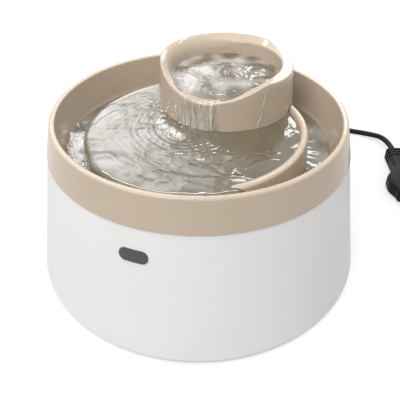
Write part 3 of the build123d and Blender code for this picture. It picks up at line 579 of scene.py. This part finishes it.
# drinking water in the tray: it lands at the cup's front left, swirls and runs over the low left rim
trayWater = {"centre": (-0.0015, -0.010), "level": 0.1042, "thick": 0.003, "leastThick": 0.0003,
             "edge": 0.0662, "weirGap": 0.0002, "intoCup": 0.0002,
             "bankFrom": (200.0, 224.0), "bankTo": (286.0, 300.0), "bankHeight": 0.0017,
             "bankStart": 0.038, "landing": (-0.0080, -0.0085), "rings": 92, "spokes": 400,
             "fold": 0.00048, "streak": 0.00018, "arc": 0.00009, "chop": 0.00006,
             "arcReach": 0.029, "arcBand": 0.016, "arcCount": 1700.0,
             # the first pair below bounds the left, where the water is painted greyer as reflection
             "stirredAndSheenTo": (-0.055, 0.020), "calmFrom": (0.020, 0.055), "calm": 0.55}
dish = {"flat": 0.0528, "bottom": 0.0943, "curve": 0.014}
# white water where the film lands beside the cup's left foot: centre, reach and height
footSplash = {"places": ((-0.0255, -0.002, 0.0055), (-0.0225, -0.0085, 0.006), (-0.0175, -0.0145, 0.006),
                         (-0.0125, -0.0195, 0.0055)), "height": 0.0020}


def footFoam(x, y):
    foam = 0.0
    for placeX, placeY, reach in footSplash["places"]:
        foam = max(foam, 1.0 - math.hypot(x - placeX, y - placeY) / reach)
    ragged = 0.6 * field(x, y, 420.0, 3.0) + 0.5 * field(x, y, 900.0, 6.0)
    return smoothStep(0.25, 0.62, foam + 0.55 * ragged)


def trayWaves(x, y):
    centreX, centreY = trayWater["centre"]
    away = math.hypot(x - centreX, y - centreY)
    turn = math.atan2(y - centreY, x - centreX)
    warp = field(x, y, 32.0, 1.0)
    warpTwo = field(x, y, 55.0, 5.0)
    # long folds and creases that lie along the swirl
    fold = field(turn * 2.6 + 1.4 * warp, away * 120.0 + 0.9 * warpTwo + 0.35 * turn, 1.0, 2.0)
    along, across = turn * 4.6 + 1.1 * warpTwo, away * 210.0 + 1.6 * warp - 0.5 * turn
    creases = 1.0 - abs(field(along, across, 1.0, 8.0)) * 2.4
    # arcs round the place where the film lands
    fallX, fallY = trayWater["landing"]
    off = math.hypot(x - fallX, y - fallY)
    arcs = math.sin(off * trayWater["arcCount"] + 5.0 * warp + 2.0 * warpTwo)
    arcs *= math.exp(-((off - trayWater["arcReach"]) / trayWater["arcBand"]) ** 2)
    chop = field(x, y, 170.0, 4.0) + 0.5 * field(x, y, 380.0, 9.0)
    near = math.exp(-off / 0.03)
    calm = 1.0 - trayWater["calm"] * smoothStep(*trayWater["calmFrom"], x)
    return calm * (trayWater["fold"] * fold + trayWater["streak"] * creases * abs(creases)
                   + trayWater["arc"] * arcs + trayWater["chop"] * chop * (1.0 + 1.4 * near))


def bankedUp(azimuth):
    degrees = math.degrees(azimuth) % 360.0
    return trayWater["bankHeight"] * between(trayWater["bankFrom"], trayWater["bankTo"], degrees)


def dishBottom(radius):
    out = max(radius - dish["flat"], 0.0)
    return dish["bottom"] + dish["curve"] - math.sqrt(max(dish["curve"] ** 2 - out ** 2, 0.0))


# greyer towards the tray's left, in clouds: stirred water and painted reflection of the bright room
def stirredAndSheenAt(x, y):
    left = 1.0 - smoothStep(*trayWater["stirredAndSheenTo"], x + 0.25 * y)
    return left * (0.35 + 0.7 * field(x, y, 70.0, 2.0))


def ringRadius(edge, ring, rings):
    return edge * (ring + 0.02) / (rings + 0.02)    # the first ring is small but not a point


# each place is (top, bottom, left out, stirred grey with painted sheen, foam)
def allRound(place, rings, spokes):
    return [place(ring, 2.0 * math.pi * spoke / spokes) for ring in range(rings) for spoke in range(spokes)]


# closed sheet of water from rings of places
def waterSheet(name, places, spokes, body, material):
    tops, bottoms, inside, stirredAndSheen, foam = zip(*places)
    quads, edges, used = [], {}, set()
    for start in range(0, len(places) - spokes, spokes):
        for spoke in range(spokes):
            first, second = start + spoke, start + (spoke + 1) % spokes
            quad = (first, first + spokes, second + spokes, second)
            if all(inside[i] for i in quad):
                continue
            quads.append(quad)
            used.update(quad)
            for edge in zip(quad, quad[1:] + quad[:1]):
                if edges.pop(edge[::-1], None) is None:     # met from both sides it isn't on the rim
                    edges[edge] = True
    kept = sorted(used)
    order = {index: place for place, index in enumerate(kept)}
    count = len(kept)
    points = [tops[i] for i in kept] + [bottoms[i] for i in kept]
    faces = [tuple(order[i] for i in quad) for quad in quads]
    faces += [tuple(order[i] + count for i in reversed(quad)) for quad in quads]
    for first, second in edges:
        faces.append((order[second], order[first], order[first] + count, order[second] + count))
    marks = {"stirredAndSheen": [stirredAndSheen[i] for i in kept] * 2, "foam": [foam[i] for i in kept] * 2}
    return meshPiece(name, points, faces, body, material, "water", marks)


# where the tray's rim is low the water bends over it into the channel: (radius, drop) along the bend
weirFall = {"from": (138.0, 158.0), "to": (284.0, 302.0), "skin": 0.0009, "thin": 0.0002, "ripple": 0.0005,
            "spread": 0.0044, "heldDrop": 0.0024,
            "path": [(0.0672, 0.0000), (0.0684, -0.0001), (0.0697, -0.0004), (0.0709, -0.0011),
                     (0.0719, -0.0022), (0.0727, -0.0040), (0.0733, -0.0066), (0.0737, -0.0095),
                     (0.0741, -0.0125), (0.0746, -0.0152)]}


def weirPlace(row, azimuth):
    down = row / (len(weirFall["path"]) - 1)
    wet = 1.0 - down
    bank = bankedUp(azimuth)
    radius, drop = weirFall["path"][row]
    wobble = field(azimuth * 25.0, down * 1.6, 1.0, 61.0)
    wobble += 0.5 * field(azimuth * 63.0, down * 2.5, 1.0, 64.0)
    radius += weirFall["ripple"] * wobble * down + weirFall["spread"] * bank / trayWater["bankHeight"]
    height = trayWater["level"] + drop + bank * (1.0 - smoothStep(0.45, 1.0, down))
    held = trayWater["level"] + bank - weirFall["heldDrop"] * down     # where the rim stands above the water
    over = between(weirFall["from"], weirFall["to"], math.degrees(azimuth) % 360.0)
    radius = mix(trayWater["edge"] + trayWater["weirGap"], radius, over)
    height = mix(held, height, over)
    x, y = onCircle(trayWater["centre"], radius, azimuth)
    behind = onCircle((x, y), -weirFall["skin"] * down, azimuth)
    stirredAndSheen = stirredAndSheenAt(x, y) * wet + 0.4 * smoothStep(0.5, 1.0, down)
    foam = smoothStep(0.72, 1.0, down + 0.25 * wobble) * 0.8 * over
    return ((x, y, height + trayWaves(x, y) * wet * wet),
            (*behind, height - weirFall["skin"] * wet - weirFall["thin"]), False, stirredAndSheen, foam)


def dishPlace(ring, azimuth):
    radius = ringRadius(trayWater["edge"], ring, trayWater["rings"])
    x, y = onCircle(trayWater["centre"], radius, azimuth)
    stirredAndSheen = stirredAndSheenAt(x, y)
    foot = cupOuter(trayWater["level"]) - trayWater["intoCup"]
    away = math.hypot(x - cupX, y - cupY)
    hidden = away < foot
    if hidden:                       # under the cup, so drawn out to its wall
        x = cupX + (x - cupX) * foot / away
        y = cupY + (y - cupY) * foot / away
    foam = footFoam(x, y)
    rough = 0.35 + 1.4 * max(field(x, y, 520.0, 7.0), -0.2)
    bank = bankedUp(azimuth) * smoothStep(trayWater["bankStart"], trayWater["edge"], radius)
    height = trayWater["level"] + bank + trayWaves(x, y) + footSplash["height"] * foam * rough
    bottom = dishBottom(math.hypot(x - trayWater["centre"][0], y - trayWater["centre"][1]))
    bottom = min(max(trayWater["level"] - trayWater["thick"], bottom), height - trayWater["leastThick"])
    return (x, y, height), (x, y, bottom), hidden, stirredAndSheen, foam


def makeTrayWater():
    spokes = trayWater["spokes"]
    places = allRound(dishPlace, trayWater["rings"] + 1, spokes)
    places += allRound(weirPlace, len(weirFall["path"]), spokes)
    return waterSheet("trayWater", places, spokes, "tray", "water")


makeTrayWater()

# water in the cup wells up behind the middle and runs to the lip
cupWater = {"level": 0.1222, "thick": 0.004, "rings": 60, "spokes": 220, "well": (0.004, 0.010),
            "swell": 0.0014, "fold": 0.0009, "crease": 0.00020, "chop": 0.00006,
            "drawdown": 0.0011, "drawnFrom": (0.024, 0.042), "intoWall": 0.0003,
            # of the last two pairs, the first bounds the front kept brown as painted shade, the second the
            # left painted greyer as reflection
            "calm": 0.7, "calmFrom": (0.75, 1.0), "shadedFrontFrom": (0.014, 0.034), "stirredAndSheenTo": (-0.020, 0.022)}


def cupWaves(x, y):
    wellX, wellY = cupX + cupWater["well"][0], cupY + cupWater["well"][1]
    off = math.hypot(x - wellX, y - wellY)
    turn = math.atan2(y - wellY, x - wellX)
    warp = field(x, y, 60.0, 11.0)
    warpTwo = field(x, y, 95.0, 15.0)
    fold = field(x + 0.007 * warp, y * 1.7 + 0.007 * warpTwo, 62.0, 12.0)
    creases = 1.0 - abs(field(turn * 3.0 + 1.4 * warp, off * 260.0 + 1.8 * warpTwo, 1.0, 18.0)) * 2.4
    chop = field(x, y, 230.0, 14.0) + 0.5 * field(x, y, 480.0, 19.0)
    swell = math.exp(-(off / 0.012) ** 2)
    return (cupWater["swell"] * swell + cupWater["fold"] * fold
            + cupWater["crease"] * creases * abs(creases) + cupWater["chop"] * chop)


def cupPlace(ring, azimuth):
    edge = cupInner(cupWater["level"], azimuth) + cupWater["intoWall"]
    radius = ringRadius(edge, ring, cupWater["rings"])
    x, y = onCircle(cupCentre, radius, azimuth)
    calm = 1.0 - cupWater["calm"] * smoothStep(*cupWater["calmFrom"], radius / edge)
    drawn = towardsLip(azimuth) * smoothStep(*cupWater["drawnFrom"], radius)
    height = cupWater["level"] + cupWaves(x, y) * calm - cupWater["drawdown"] * drawn
    # painted shade keeps the front brown; the left is painted greyer as reflection, with stirred grey in
    # clouds
    front = smoothStep(*cupWater["shadedFrontFrom"], cupY - y)
    left = 1.0 - smoothStep(*cupWater["stirredAndSheenTo"], x - cupX)
    stirredAndSheen = (1.0 - front) * clamp(0.12 + 0.45 * left + 1.1 * field(x, y, 85.0, 21.0))
    return (x, y, height), (x, y, cupWater["level"] - cupWater["thick"]), False, stirredAndSheen, 0.0


def makeCupWater():
    places = allRound(cupPlace, cupWater["rings"] + 1, cupWater["spokes"])
    return waterSheet("cupWater", places, cupWater["spokes"], "cup", "cupWater")


makeCupWater()
print("tray and cup filled")

# the film that runs over the lip and down the wall
lipFilm = {"from": -134.0, "to": -98.0, "columns": 120, "start": 0.0022, "foot": 0.1036,
           "fadeIn": (0.0, 0.12), "fadeOut": (0.86, 1.0), "tear": 0.1225,
           "thick": 0.00045, "rib": 0.0008, "ribDeep": 0.004, "sunk": 0.0003,
           "sway": 0.05, "swayDeep": 0.006, "edge": 1.6, "sag": 0.0010, "intoRim": 0.0001,
           "lipSteps": 13, "bendSteps": 8, "wallSteps": 37}


# radius, height, outward and upward part of the thickness, and how far the film has begun
def filmPath(azimuth):
    outerTop = rimHeight(spoutCup["topRadius"], azimuth)
    outer = cupOuter(outerTop)
    edge = spoutCup["outerEdge"] * lipFilm["edge"]
    path = []
    start = cupInner(cupWater["level"], azimuth) - lipFilm["start"]
    for step in range(lipFilm["lipSteps"] + 1):
        share = step / lipFilm["lipSteps"]
        radius = mix(start, outer - edge, share)
        height = max(cupWater["level"] - lipFilm["sag"] * (1.0 - share),
                     rimHeight(radius, azimuth) - lipFilm["intoRim"])
        path.append((radius, height, 0.0, 1.0, smoothStep(0.1, 0.8, share)))
    below = (cupOuter(outerTop - edge), outerTop - edge)
    for radius, height in bend(path[-1][:2], (outer, outerTop), below, lipFilm["bendSteps"])[1:]:
        slant = clamp((outerTop - height) / edge)
        path.append((radius, height, slant, 1.0 - slant, 1.0))
    for step in range(1, lipFilm["wallSteps"] + 1):
        height = mix(outerTop - edge, lipFilm["foot"], step / lipFilm["wallSteps"])
        path.append((cupOuter(height), height, 1.0, 0.0, 1.0))
    return path


def makeLipFilm():
    columns = lipFilm["columns"]
    outside, underside = [], []
    marks = {"stirredAndSheen": [], "foam": []}
    for column in range(columns + 1):
        share = column / columns
        azimuth = math.radians(mix(lipFilm["from"], lipFilm["to"], share))
        sheet = between(lipFilm["fadeIn"], lipFilm["fadeOut"], share)
        path = filmPath(azimuth)
        for radius, height, out, up, begun in path:
            fall = max(lipFilm["tear"] - height, 0.0)
            sway = lipFilm["sway"] * field(share * 3.0, height, 90.0, 31.0)
            turn = azimuth + sway * min(fall / lipFilm["swayDeep"], 1.0)
            lines = field(share * 17.0, height * 55.0, 1.0, 33.0)
            fineLines = field(share * 44.0, height * 120.0, 1.0, 37.0)
            rib = max(0.45 + 1.1 * lines + 0.5 * fineLines, 0.0)
            down = min(fall / lipFilm["ribDeep"], 1.0)
            thick = sheet * begun * (lipFilm["thick"] + lipFilm["rib"] * rib * down * down)
            for side, offset in ((outside, thick), (underside, -lipFilm["sunk"])):
                side.append((*onCircle(cupCentre, radius + offset * out, turn), height + offset * up))
            marks["stirredAndSheen"].append(min(rib * 0.8, 1.0))
            marks["foam"].append(min(max(rib - 0.75, 0.0) * 1.6, 1.0) * down * sheet)
    faces = stripFaces(columns + 1, len(path))
    marks = {name: row * 2 for name, row in marks.items()}
    return meshPiece("lipFilm", outside + underside, faces, "cup", "film", "water", marks)


makeLipFilm()

# a thin trickle from the end of the land
trickle = {"from": -58.0, "to": -66.0, "top": 0.1302, "foot": 0.1036, "width": 0.0006,
           "deep": 0.0004, "wander": 1.6, "rows": 51, "sides": 12, "stirredAndSheen": 0.5}


def makeTrickle():
    points = []
    rows, sides = trickle["rows"], trickle["sides"]
    for row in range(rows):
        share = row / (rows - 1)
        height = mix(trickle["top"], trickle["foot"], share)
        wander = trickle["wander"] * field(share * 4.0, 41.0, 1.0, 0.0) * smoothStep(0.0, 0.2, share)
        azimuth = math.radians(mix(trickle["from"], trickle["to"], share) + wander)
        swell = 0.55 + 0.5 * smoothStep(0.0, 0.3, share) + 0.35 * field(share * 9.0, 44.0, 1.0, 0.0)
        swell *= smoothStep(-0.02, 0.06, share)
        radius = cupOuter(height)
        for side in range(sides):
            angle = 2.0 * math.pi * side / sides
            across = trickle["width"] * swell * math.cos(angle)
            out = trickle["deep"] * swell * math.sin(angle)
            points.append((*onCircle(cupCentre, radius + out, azimuth + across / radius), height))
    marks = {"stirredAndSheen": [trickle["stirredAndSheen"]] * len(points), "foam": [0.0] * len(points)}
    return meshPiece("trickle", points, tubeFaces(rows, sides), "cup", "film", "water", marks)


makeTrickle()
print("film and trickle run down the cup")

# water in the ring channel, white where the weir spills into it on the left
channelWater = {"level": 0.0900, "thick": 0.0035, "outer": 0.0872, "inner": 0.0726, "rings": 18,
                "spokes": 460, "spillFrom": (163.0, 177.0), "spillTo": (196.0, 214.0),
                "mound": 0.0062, "ripple": 0.0004, "cupGap": 0.0385}


def channelFoam(turn, share, x, y):
    along = between(channelWater["spillFrom"], channelWater["spillTo"], math.degrees(turn) % 360.0)
    ragged = field(x, y, 240.0, 51.0) + 0.6 * field(x, y, 620.0, 55.0)
    return along * smoothStep(0.12, 0.6, 0.75 - 0.55 * abs(share - 0.45) + 0.75 * ragged)


# between the tray and the bowl's wall, whose centres differ
def channelPlace(ring, azimuth):
    centreX, centreY = trayWater["centre"]
    outX, outY = onCircle((0.0, 0.0), channelWater["outer"], azimuth)
    away = math.hypot(outX - centreX, outY - centreY)
    turn = math.atan2(outY - centreY, outX - centreX)
    share = ring / channelWater["rings"]
    x, y = onCircle(trayWater["centre"], mix(channelWater["inner"], away, share), turn)
    foam = channelFoam(turn, share, x, y)
    small = field(x, y, 90.0, 52.0) + 0.6 * field(x, y, 220.0, 55.0)
    rough = 0.55 + 0.9 * max(field(x, y, 330.0, 57.0), -0.3)
    height = channelWater["level"] + channelWater["ripple"] * small + channelWater["mound"] * foam * rough
    hidden = math.hypot(x - cupX, y - cupY) < channelWater["cupGap"]
    stirredAndSheen = clamp(0.15 + 0.5 * field(x, y, 60.0, 58.0) + foam)
    return (x, y, height), (x, y, channelWater["level"] - channelWater["thick"]), hidden, stirredAndSheen, foam


def makeChannelWater():
    places = allRound(channelPlace, channelWater["rings"] + 1, channelWater["spokes"])
    return waterSheet("channelWater", places, channelWater["spokes"], "bowl", "spray")


makeChannelWater()

# drops thrown up by the two splashes, and beads left on the cup's wall
drops = {"rows": 6, "sides": 10, "foam": 0.75}
footDrops = {"count": 26, "turn": (-172.0, -122.0), "out": (0.0006, 0.0075), "low": 0.0003,
             "high": 0.0016, "spray": 0.0035, "sprayReach": 0.003,
             "size": (0.0003, 0.0008), "stretch": (0.7, 1.3)}
wallBeads = {"count": 16, "turn": (-176.0, -136.0), "height": (0.1065, 0.1150),
             "size": (0.0003, 0.0006), "stretch": (0.9, 1.6)}
channelDrops = {"count": 44, "turn": (165.0, 210.0), "radius": (0.0742, 0.0835),
                "above": (0.003, 0.0085), "size": (0.0004, 0.0010), "stretch": (0.7, 1.3)}


def addDrop(points, faces, centre, size, stretch):
    rows, sides = drops["rows"], drops["sides"]
    start = len(points)
    points.append((centre[0], centre[1], centre[2] + size * stretch))
    for row in range(1, rows):
        tilt = math.pi * row / rows
        for side in range(sides):
            around = onCircle(centre, size * math.sin(tilt), 2.0 * math.pi * side / sides)
            points.append((*around, centre[2] + size * stretch * math.cos(tilt)))
    points.append((centre[0], centre[1], centre[2] - size * stretch))
    end = len(points) - 1
    for side in range(sides):
        after = (side + 1) % sides
        faces.append((start, start + 1 + side, start + 1 + after))
        for row in range(rows - 2):
            first = start + 1 + row * sides
            faces.append((first + side, first + sides + side, first + sides + after, first + after))
        last = start + 1 + (rows - 2) * sides
        faces.append((last + side, end, last + after))


def makeDrops(name, places, body):
    points, faces = [], []
    for centre, size, stretch in places:
        addDrop(points, faces, centre, size, stretch)
    marks = {"stirredAndSheen": [1.0] * len(points), "foam": [drops["foam"]] * len(points)}
    return meshPiece(name, points, faces, body, "spray", "drops", marks)


def sizeAndStretch(look):
    return random.uniform(*look["size"]), random.uniform(*look["stretch"])


def footPlaces():
    places = []
    for _ in range(footDrops["count"]):
        turn = math.radians(random.uniform(*footDrops["turn"]))
        out = random.uniform(*footDrops["out"])
        high = footDrops["high"] + footDrops["spray"] * math.exp(-out / footDrops["sprayReach"])
        height = trayWater["level"] + random.uniform(footDrops["low"], high)
        centre = (*onCircle(cupCentre, cupOuter(trayWater["level"]) + out, turn), height)
        places.append((centre, *sizeAndStretch(footDrops)))
    return places


def wallPlaces():
    places = []
    for _ in range(wallBeads["count"]):
        height = random.uniform(*wallBeads["height"])
        turn = math.radians(random.uniform(*wallBeads["turn"]))
        centre = (*onCircle(cupCentre, cupOuter(height), turn), height)
        places.append((centre, *sizeAndStretch(wallBeads)))
    return places


def channelPlaces():
    places = []
    for _ in range(channelDrops["count"]):
        turn = math.radians(random.uniform(*channelDrops["turn"]))
        radius = random.uniform(*channelDrops["radius"])
        height = channelWater["level"] + random.uniform(*channelDrops["above"])
        centre = (*onCircle(trayWater["centre"], radius, turn), height)
        places.append((centre, *sizeAndStretch(channelDrops)))
    return places


makeDrops("footDrops", footPlaces(), "tray")
makeDrops("wallBeads", wallPlaces(), "cup")
makeDrops("channelDrops", channelPlaces(), "bowl")
print("channel filled, drops thrown")

# strain relief: a tapered sleeve with rings, on the lead where it leaves the grommet
relief = {"length": 0.020, "bore": 0.0025, "base": 0.0044, "tip": 0.0033, "rings": 6,
          "groove": 0.0006, "grooveEdge": (0.35, 0.65), "endEdge": 0.0005, "endFrom": (0.96, 1.0),
          "direction": 98.0, "rows": 96, "sides": 32}


def makeRelief():
    azimuth = math.radians(relief["direction"])
    ahead = Vector((math.cos(azimuth), math.sin(azimuth), 0.0))
    aside = Vector((0.0, 0.0, 1.0)).cross(ahead).normalized()
    up = ahead.cross(aside).normalized()
    profile = []
    for row in range(relief["rows"] + 1):
        share = row / relief["rows"]
        radius = mix(relief["base"], relief["tip"], share)
        wave = 0.5 + 0.5 * math.cos(2.0 * math.pi * relief["rings"] * share)
        radius -= relief["groove"] * (1.0 - smoothStep(*relief["grooveEdge"], wave))
        radius -= relief["endEdge"] * smoothStep(*relief["endFrom"], share)
        profile.append((relief["length"] * share, radius))
    profile += [(relief["length"], relief["bore"]), (0.0, relief["bore"])]
    points = []
    for along, radius in profile:
        for side in range(relief["sides"]):
            angle = 2.0 * math.pi * side / relief["sides"]
            around = aside * (radius * math.cos(angle)) + up * (radius * math.sin(angle))
            points.append(Vector(lead["exit"]) + ahead * along + around)
    faces = wrapFaces(len(profile), relief["sides"], True, True)
    piece = meshPiece("leadRelief", points, faces, "base", "rubber", "moulding")
    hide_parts("strain_relief")
    return piece


# plug: flat two-pin moulding with a ribbed neck, drawn in behind the grip and flared before the face
plug = {"place": (0.18491, 0.11001, 0.00685), "heading": -93.3, "length": 0.068, "thickness": 0.0137,
        "neck": 0.0086, "waist": 0.0083, "flare": 0.01765, "face": 0.0131, "squareness": 0.42,
        "waistFrom": (0.0, 0.026), "flareFrom": (0.028, 0.047), "faceFrom": (0.053, 0.066),
        "ribs": 3, "ribStart": 0.0044, "ribStep": 0.004, "ribHalf": 0.0010, "groove": 0.0013,
        "edge": 0.0016, "rows": 131, "sides": 56}


def plugHalfWidth(along):
    width = mix(plug["neck"], plug["waist"], smoothStep(*plug["waistFrom"], along))
    width = mix(width, plug["flare"], smoothStep(*plug["flareFrom"], along))
    return mix(width, plug["face"], smoothStep(*plug["faceFrom"], along))


# how far the surface is drawn in by the rounded ends and the grooves between the ribs
def plugInset(along):
    end = min(min(along, plug["length"] - along) / plug["edge"], 1.0)
    rounded = plug["edge"] * (1.0 - math.sqrt(max(1.0 - (1.0 - end) ** 2, 0.0)))
    groove = 0.0
    for rib in range(plug["ribs"]):
        off = abs(along - plug["ribStart"] - rib * plug["ribStep"])
        groove = max(groove, 1.0 - off / plug["ribHalf"])
    return rounded + plug["groove"] * smoothStep(0.0, 0.6, groove)


def makePlug():
    azimuth = math.radians(plug["heading"])
    ahead = Vector((math.cos(azimuth), math.sin(azimuth), 0.0))
    aside = Vector((-math.sin(azimuth), math.cos(azimuth), 0.0))
    rows, sides = plug["rows"], plug["sides"]
    points = []
    for row in range(rows):
        along = plug["length"] * row / (rows - 1)
        inset = plugInset(along)
        half = plugHalfWidth(along) - inset
        tall = plug["thickness"] / 2 - inset
        for side in range(sides):
            across, up = squarish(2.0 * math.pi * side / sides, plug["squareness"])
            around = aside * (across * half) + Vector((0.0, 0.0, up * tall))
            points.append(Vector(plug["place"]) + ahead * along + around)
    piece = meshPiece("plugMoulding", points, tubeFaces(rows, sides), "base", "plug", "moulding")
    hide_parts("plug_body")
    return piece


# tie: a flat strap drawn round the coil's bundle
tie = {"half": 0.0076, "tall": 0.0075, "middle": 0.0076, "thick": 0.0010, "width": 0.0050,
       "squareness": 0.55, "steps": 72,
       "section": ((0.0, -0.5), (1.0, -0.46), (1.0, 0.46), (0.0, 0.5))}     # outward and sideways


def makeTie():
    points = []
    centreX = coil["centre"][0] - coil["columns"][1]
    centreY = coil["centre"][1]
    for step in range(tie["steps"]):
        across, up = squarish(2.0 * math.pi * step / tie["steps"], tie["squareness"])
        for out, side in tie["section"]:
            grow = tie["thick"] * out
            above = tie["tall"] + (grow if up > 0.0 else 0.0)    # no thicker under the bundle, where it lies
            points.append((centreX + across * (tie["half"] + grow), centreY + side * tie["width"],
                           tie["middle"] + up * above))
    faces = wrapFaces(tie["steps"], len(tie["section"]), True, True)
    piece = meshPiece("coilTie", points, faces, "base", "rubber", "moulding")
    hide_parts("coil_tie")
    return piece


reliefPiece = makeRelief()
plugPiece = makePlug()
tiePiece = makeTie()
print("relief, plug and tie made")

# room: pale floor, white surroundings for the eye and the gloss, soft lamps
room = {"horizon": 0.10, "zenith": 1.35, "ambient": (1.0, 0.99, 0.98, 1.0), "white": (1.0, 1.0, 1.0, 1.0),
        "floorHalf": 3.0, "floorHeight": -0.0002, "floorGlow": 0.60, "floorGrain": 6.0,
        "floorRoughness": 0.9, "floorColour": (0.31, 0.31, 0.31), "floorTone": (0.34, 0.34, 0.34),
        "lampsFace": (0.0, 0.0, 0.10)}
# place, size, radiance, and whether only the gloss sees the lamp
lamps = {
    "key": ((-0.80, -0.90, 1.30), (0.9, 0.9), 4.9, False),
    "top": ((-0.05, -0.30, 1.42), (0.8, 0.8), 3.0, False),
    "fill": ((0.90, -0.55, 1.15), (0.7, 0.7), 0.25, False),
    "backLeftWide": ((-0.42, 1.08, 0.86), (0.95, 0.62), 1.0, True),
    "backLeftMiddle": ((-0.41, 1.06, 0.85), (0.66, 0.44), 1.2, True),
    "backLeftCore": ((-0.40, 1.04, 0.84), (0.38, 0.26), 0.8, True),
    "backRight": ((0.41, 1.19, 0.66), (0.32, 0.30), 5.2, True),
    "crest": ((0.0, 0.78, 1.18), (1.6, 0.08), 18.0, True),
}


# one for the rays that are named, nought for others
def seenBy(tree, *rays):
    path = add(tree, "ShaderNodeLightPath")
    seen = path.outputs[rays[0]]
    for ray in rays[1:]:
        seen = calculate(tree, "MAXIMUM", seen, path.outputs[ray])
    return seen


def makeWorld():
    world = bpy.data.worlds.new("room")
    bpy.context.scene.world = world
    world.use_nodes = True
    tree = world.node_tree
    tree.nodes.clear()
    seen = seenBy(tree, "Is Camera Ray", "Is Glossy Ray", "Is Transmission Ray")
    towards = add(tree, "ShaderNodeTexCoord").outputs["Generated"]
    height = add(tree, "ShaderNodeSeparateXYZ", {"Vector": towards}).outputs["Z"]
    strength = spread(tree, height, 0.0, 1.0, room["horizon"], room["zenith"])
    soft = add(tree, "ShaderNodeBackground", {"Color": room["ambient"], "Strength": strength})
    plain = add(tree, "ShaderNodeBackground", {"Color": room["white"], "Strength": 1.0})
    mixed = add(tree, "ShaderNodeMixShader", {0: seen, 1: soft.outputs[0], 2: plain.outputs[0]})
    result = add(tree, "ShaderNodeOutputWorld")
    tree.links.new(mixed.outputs[0], result.inputs["Surface"])


def makeFloor():
    half, height = room["floorHalf"], room["floorHeight"]
    mesh = bpy.data.meshes.new("floor")
    corners = [(-half, -half, height), (half, -half, height), (half, half, height), (-half, half, height)]
    mesh.from_pydata(corners, [], [(0, 1, 2, 3)])
    floor = bpy.data.objects.new("floor", mesh)
    bpy.context.scene.collection.objects.link(floor)
    material, tree = newTree("floor")
    tone = noiseField(tree, objectPlace(tree), room["floorGrain"], 3.0)
    colour = mixColours(tree, tone, room["floorColour"], room["floorTone"])
    glow = calculate(tree, "MULTIPLY", seenBy(tree, "Is Camera Ray", "Is Glossy Ray"), room["floorGlow"])
    shaded(tree, {"Base Color": colour, "Roughness": room["floorRoughness"],
                  "Emission Color": room["white"], "Emission Strength": glow})
    mesh.materials.append(material)


def makeLamps():
    for name, (place, size, radiance, glossOnly) in lamps.items():
        data = bpy.data.lights.new(name, "AREA")
        data.shape = "RECTANGLE"
        data.size, data.size_y = size
        data.energy = radiance * math.pi * data.size * data.size_y
        light = bpy.data.objects.new(name, data)
        light.location = place
        towards = Vector(room["lampsFace"]) - Vector(place)
        light.rotation_euler = towards.to_track_quat("-Z", "Y").to_euler()
        light.visible_diffuse = not glossOnly
        bpy.context.scene.collection.objects.link(light)


makeWorld()
makeFloor()
makeLamps()
bpy.context.scene.view_settings.view_transform = "Standard"
print("room and lights made")
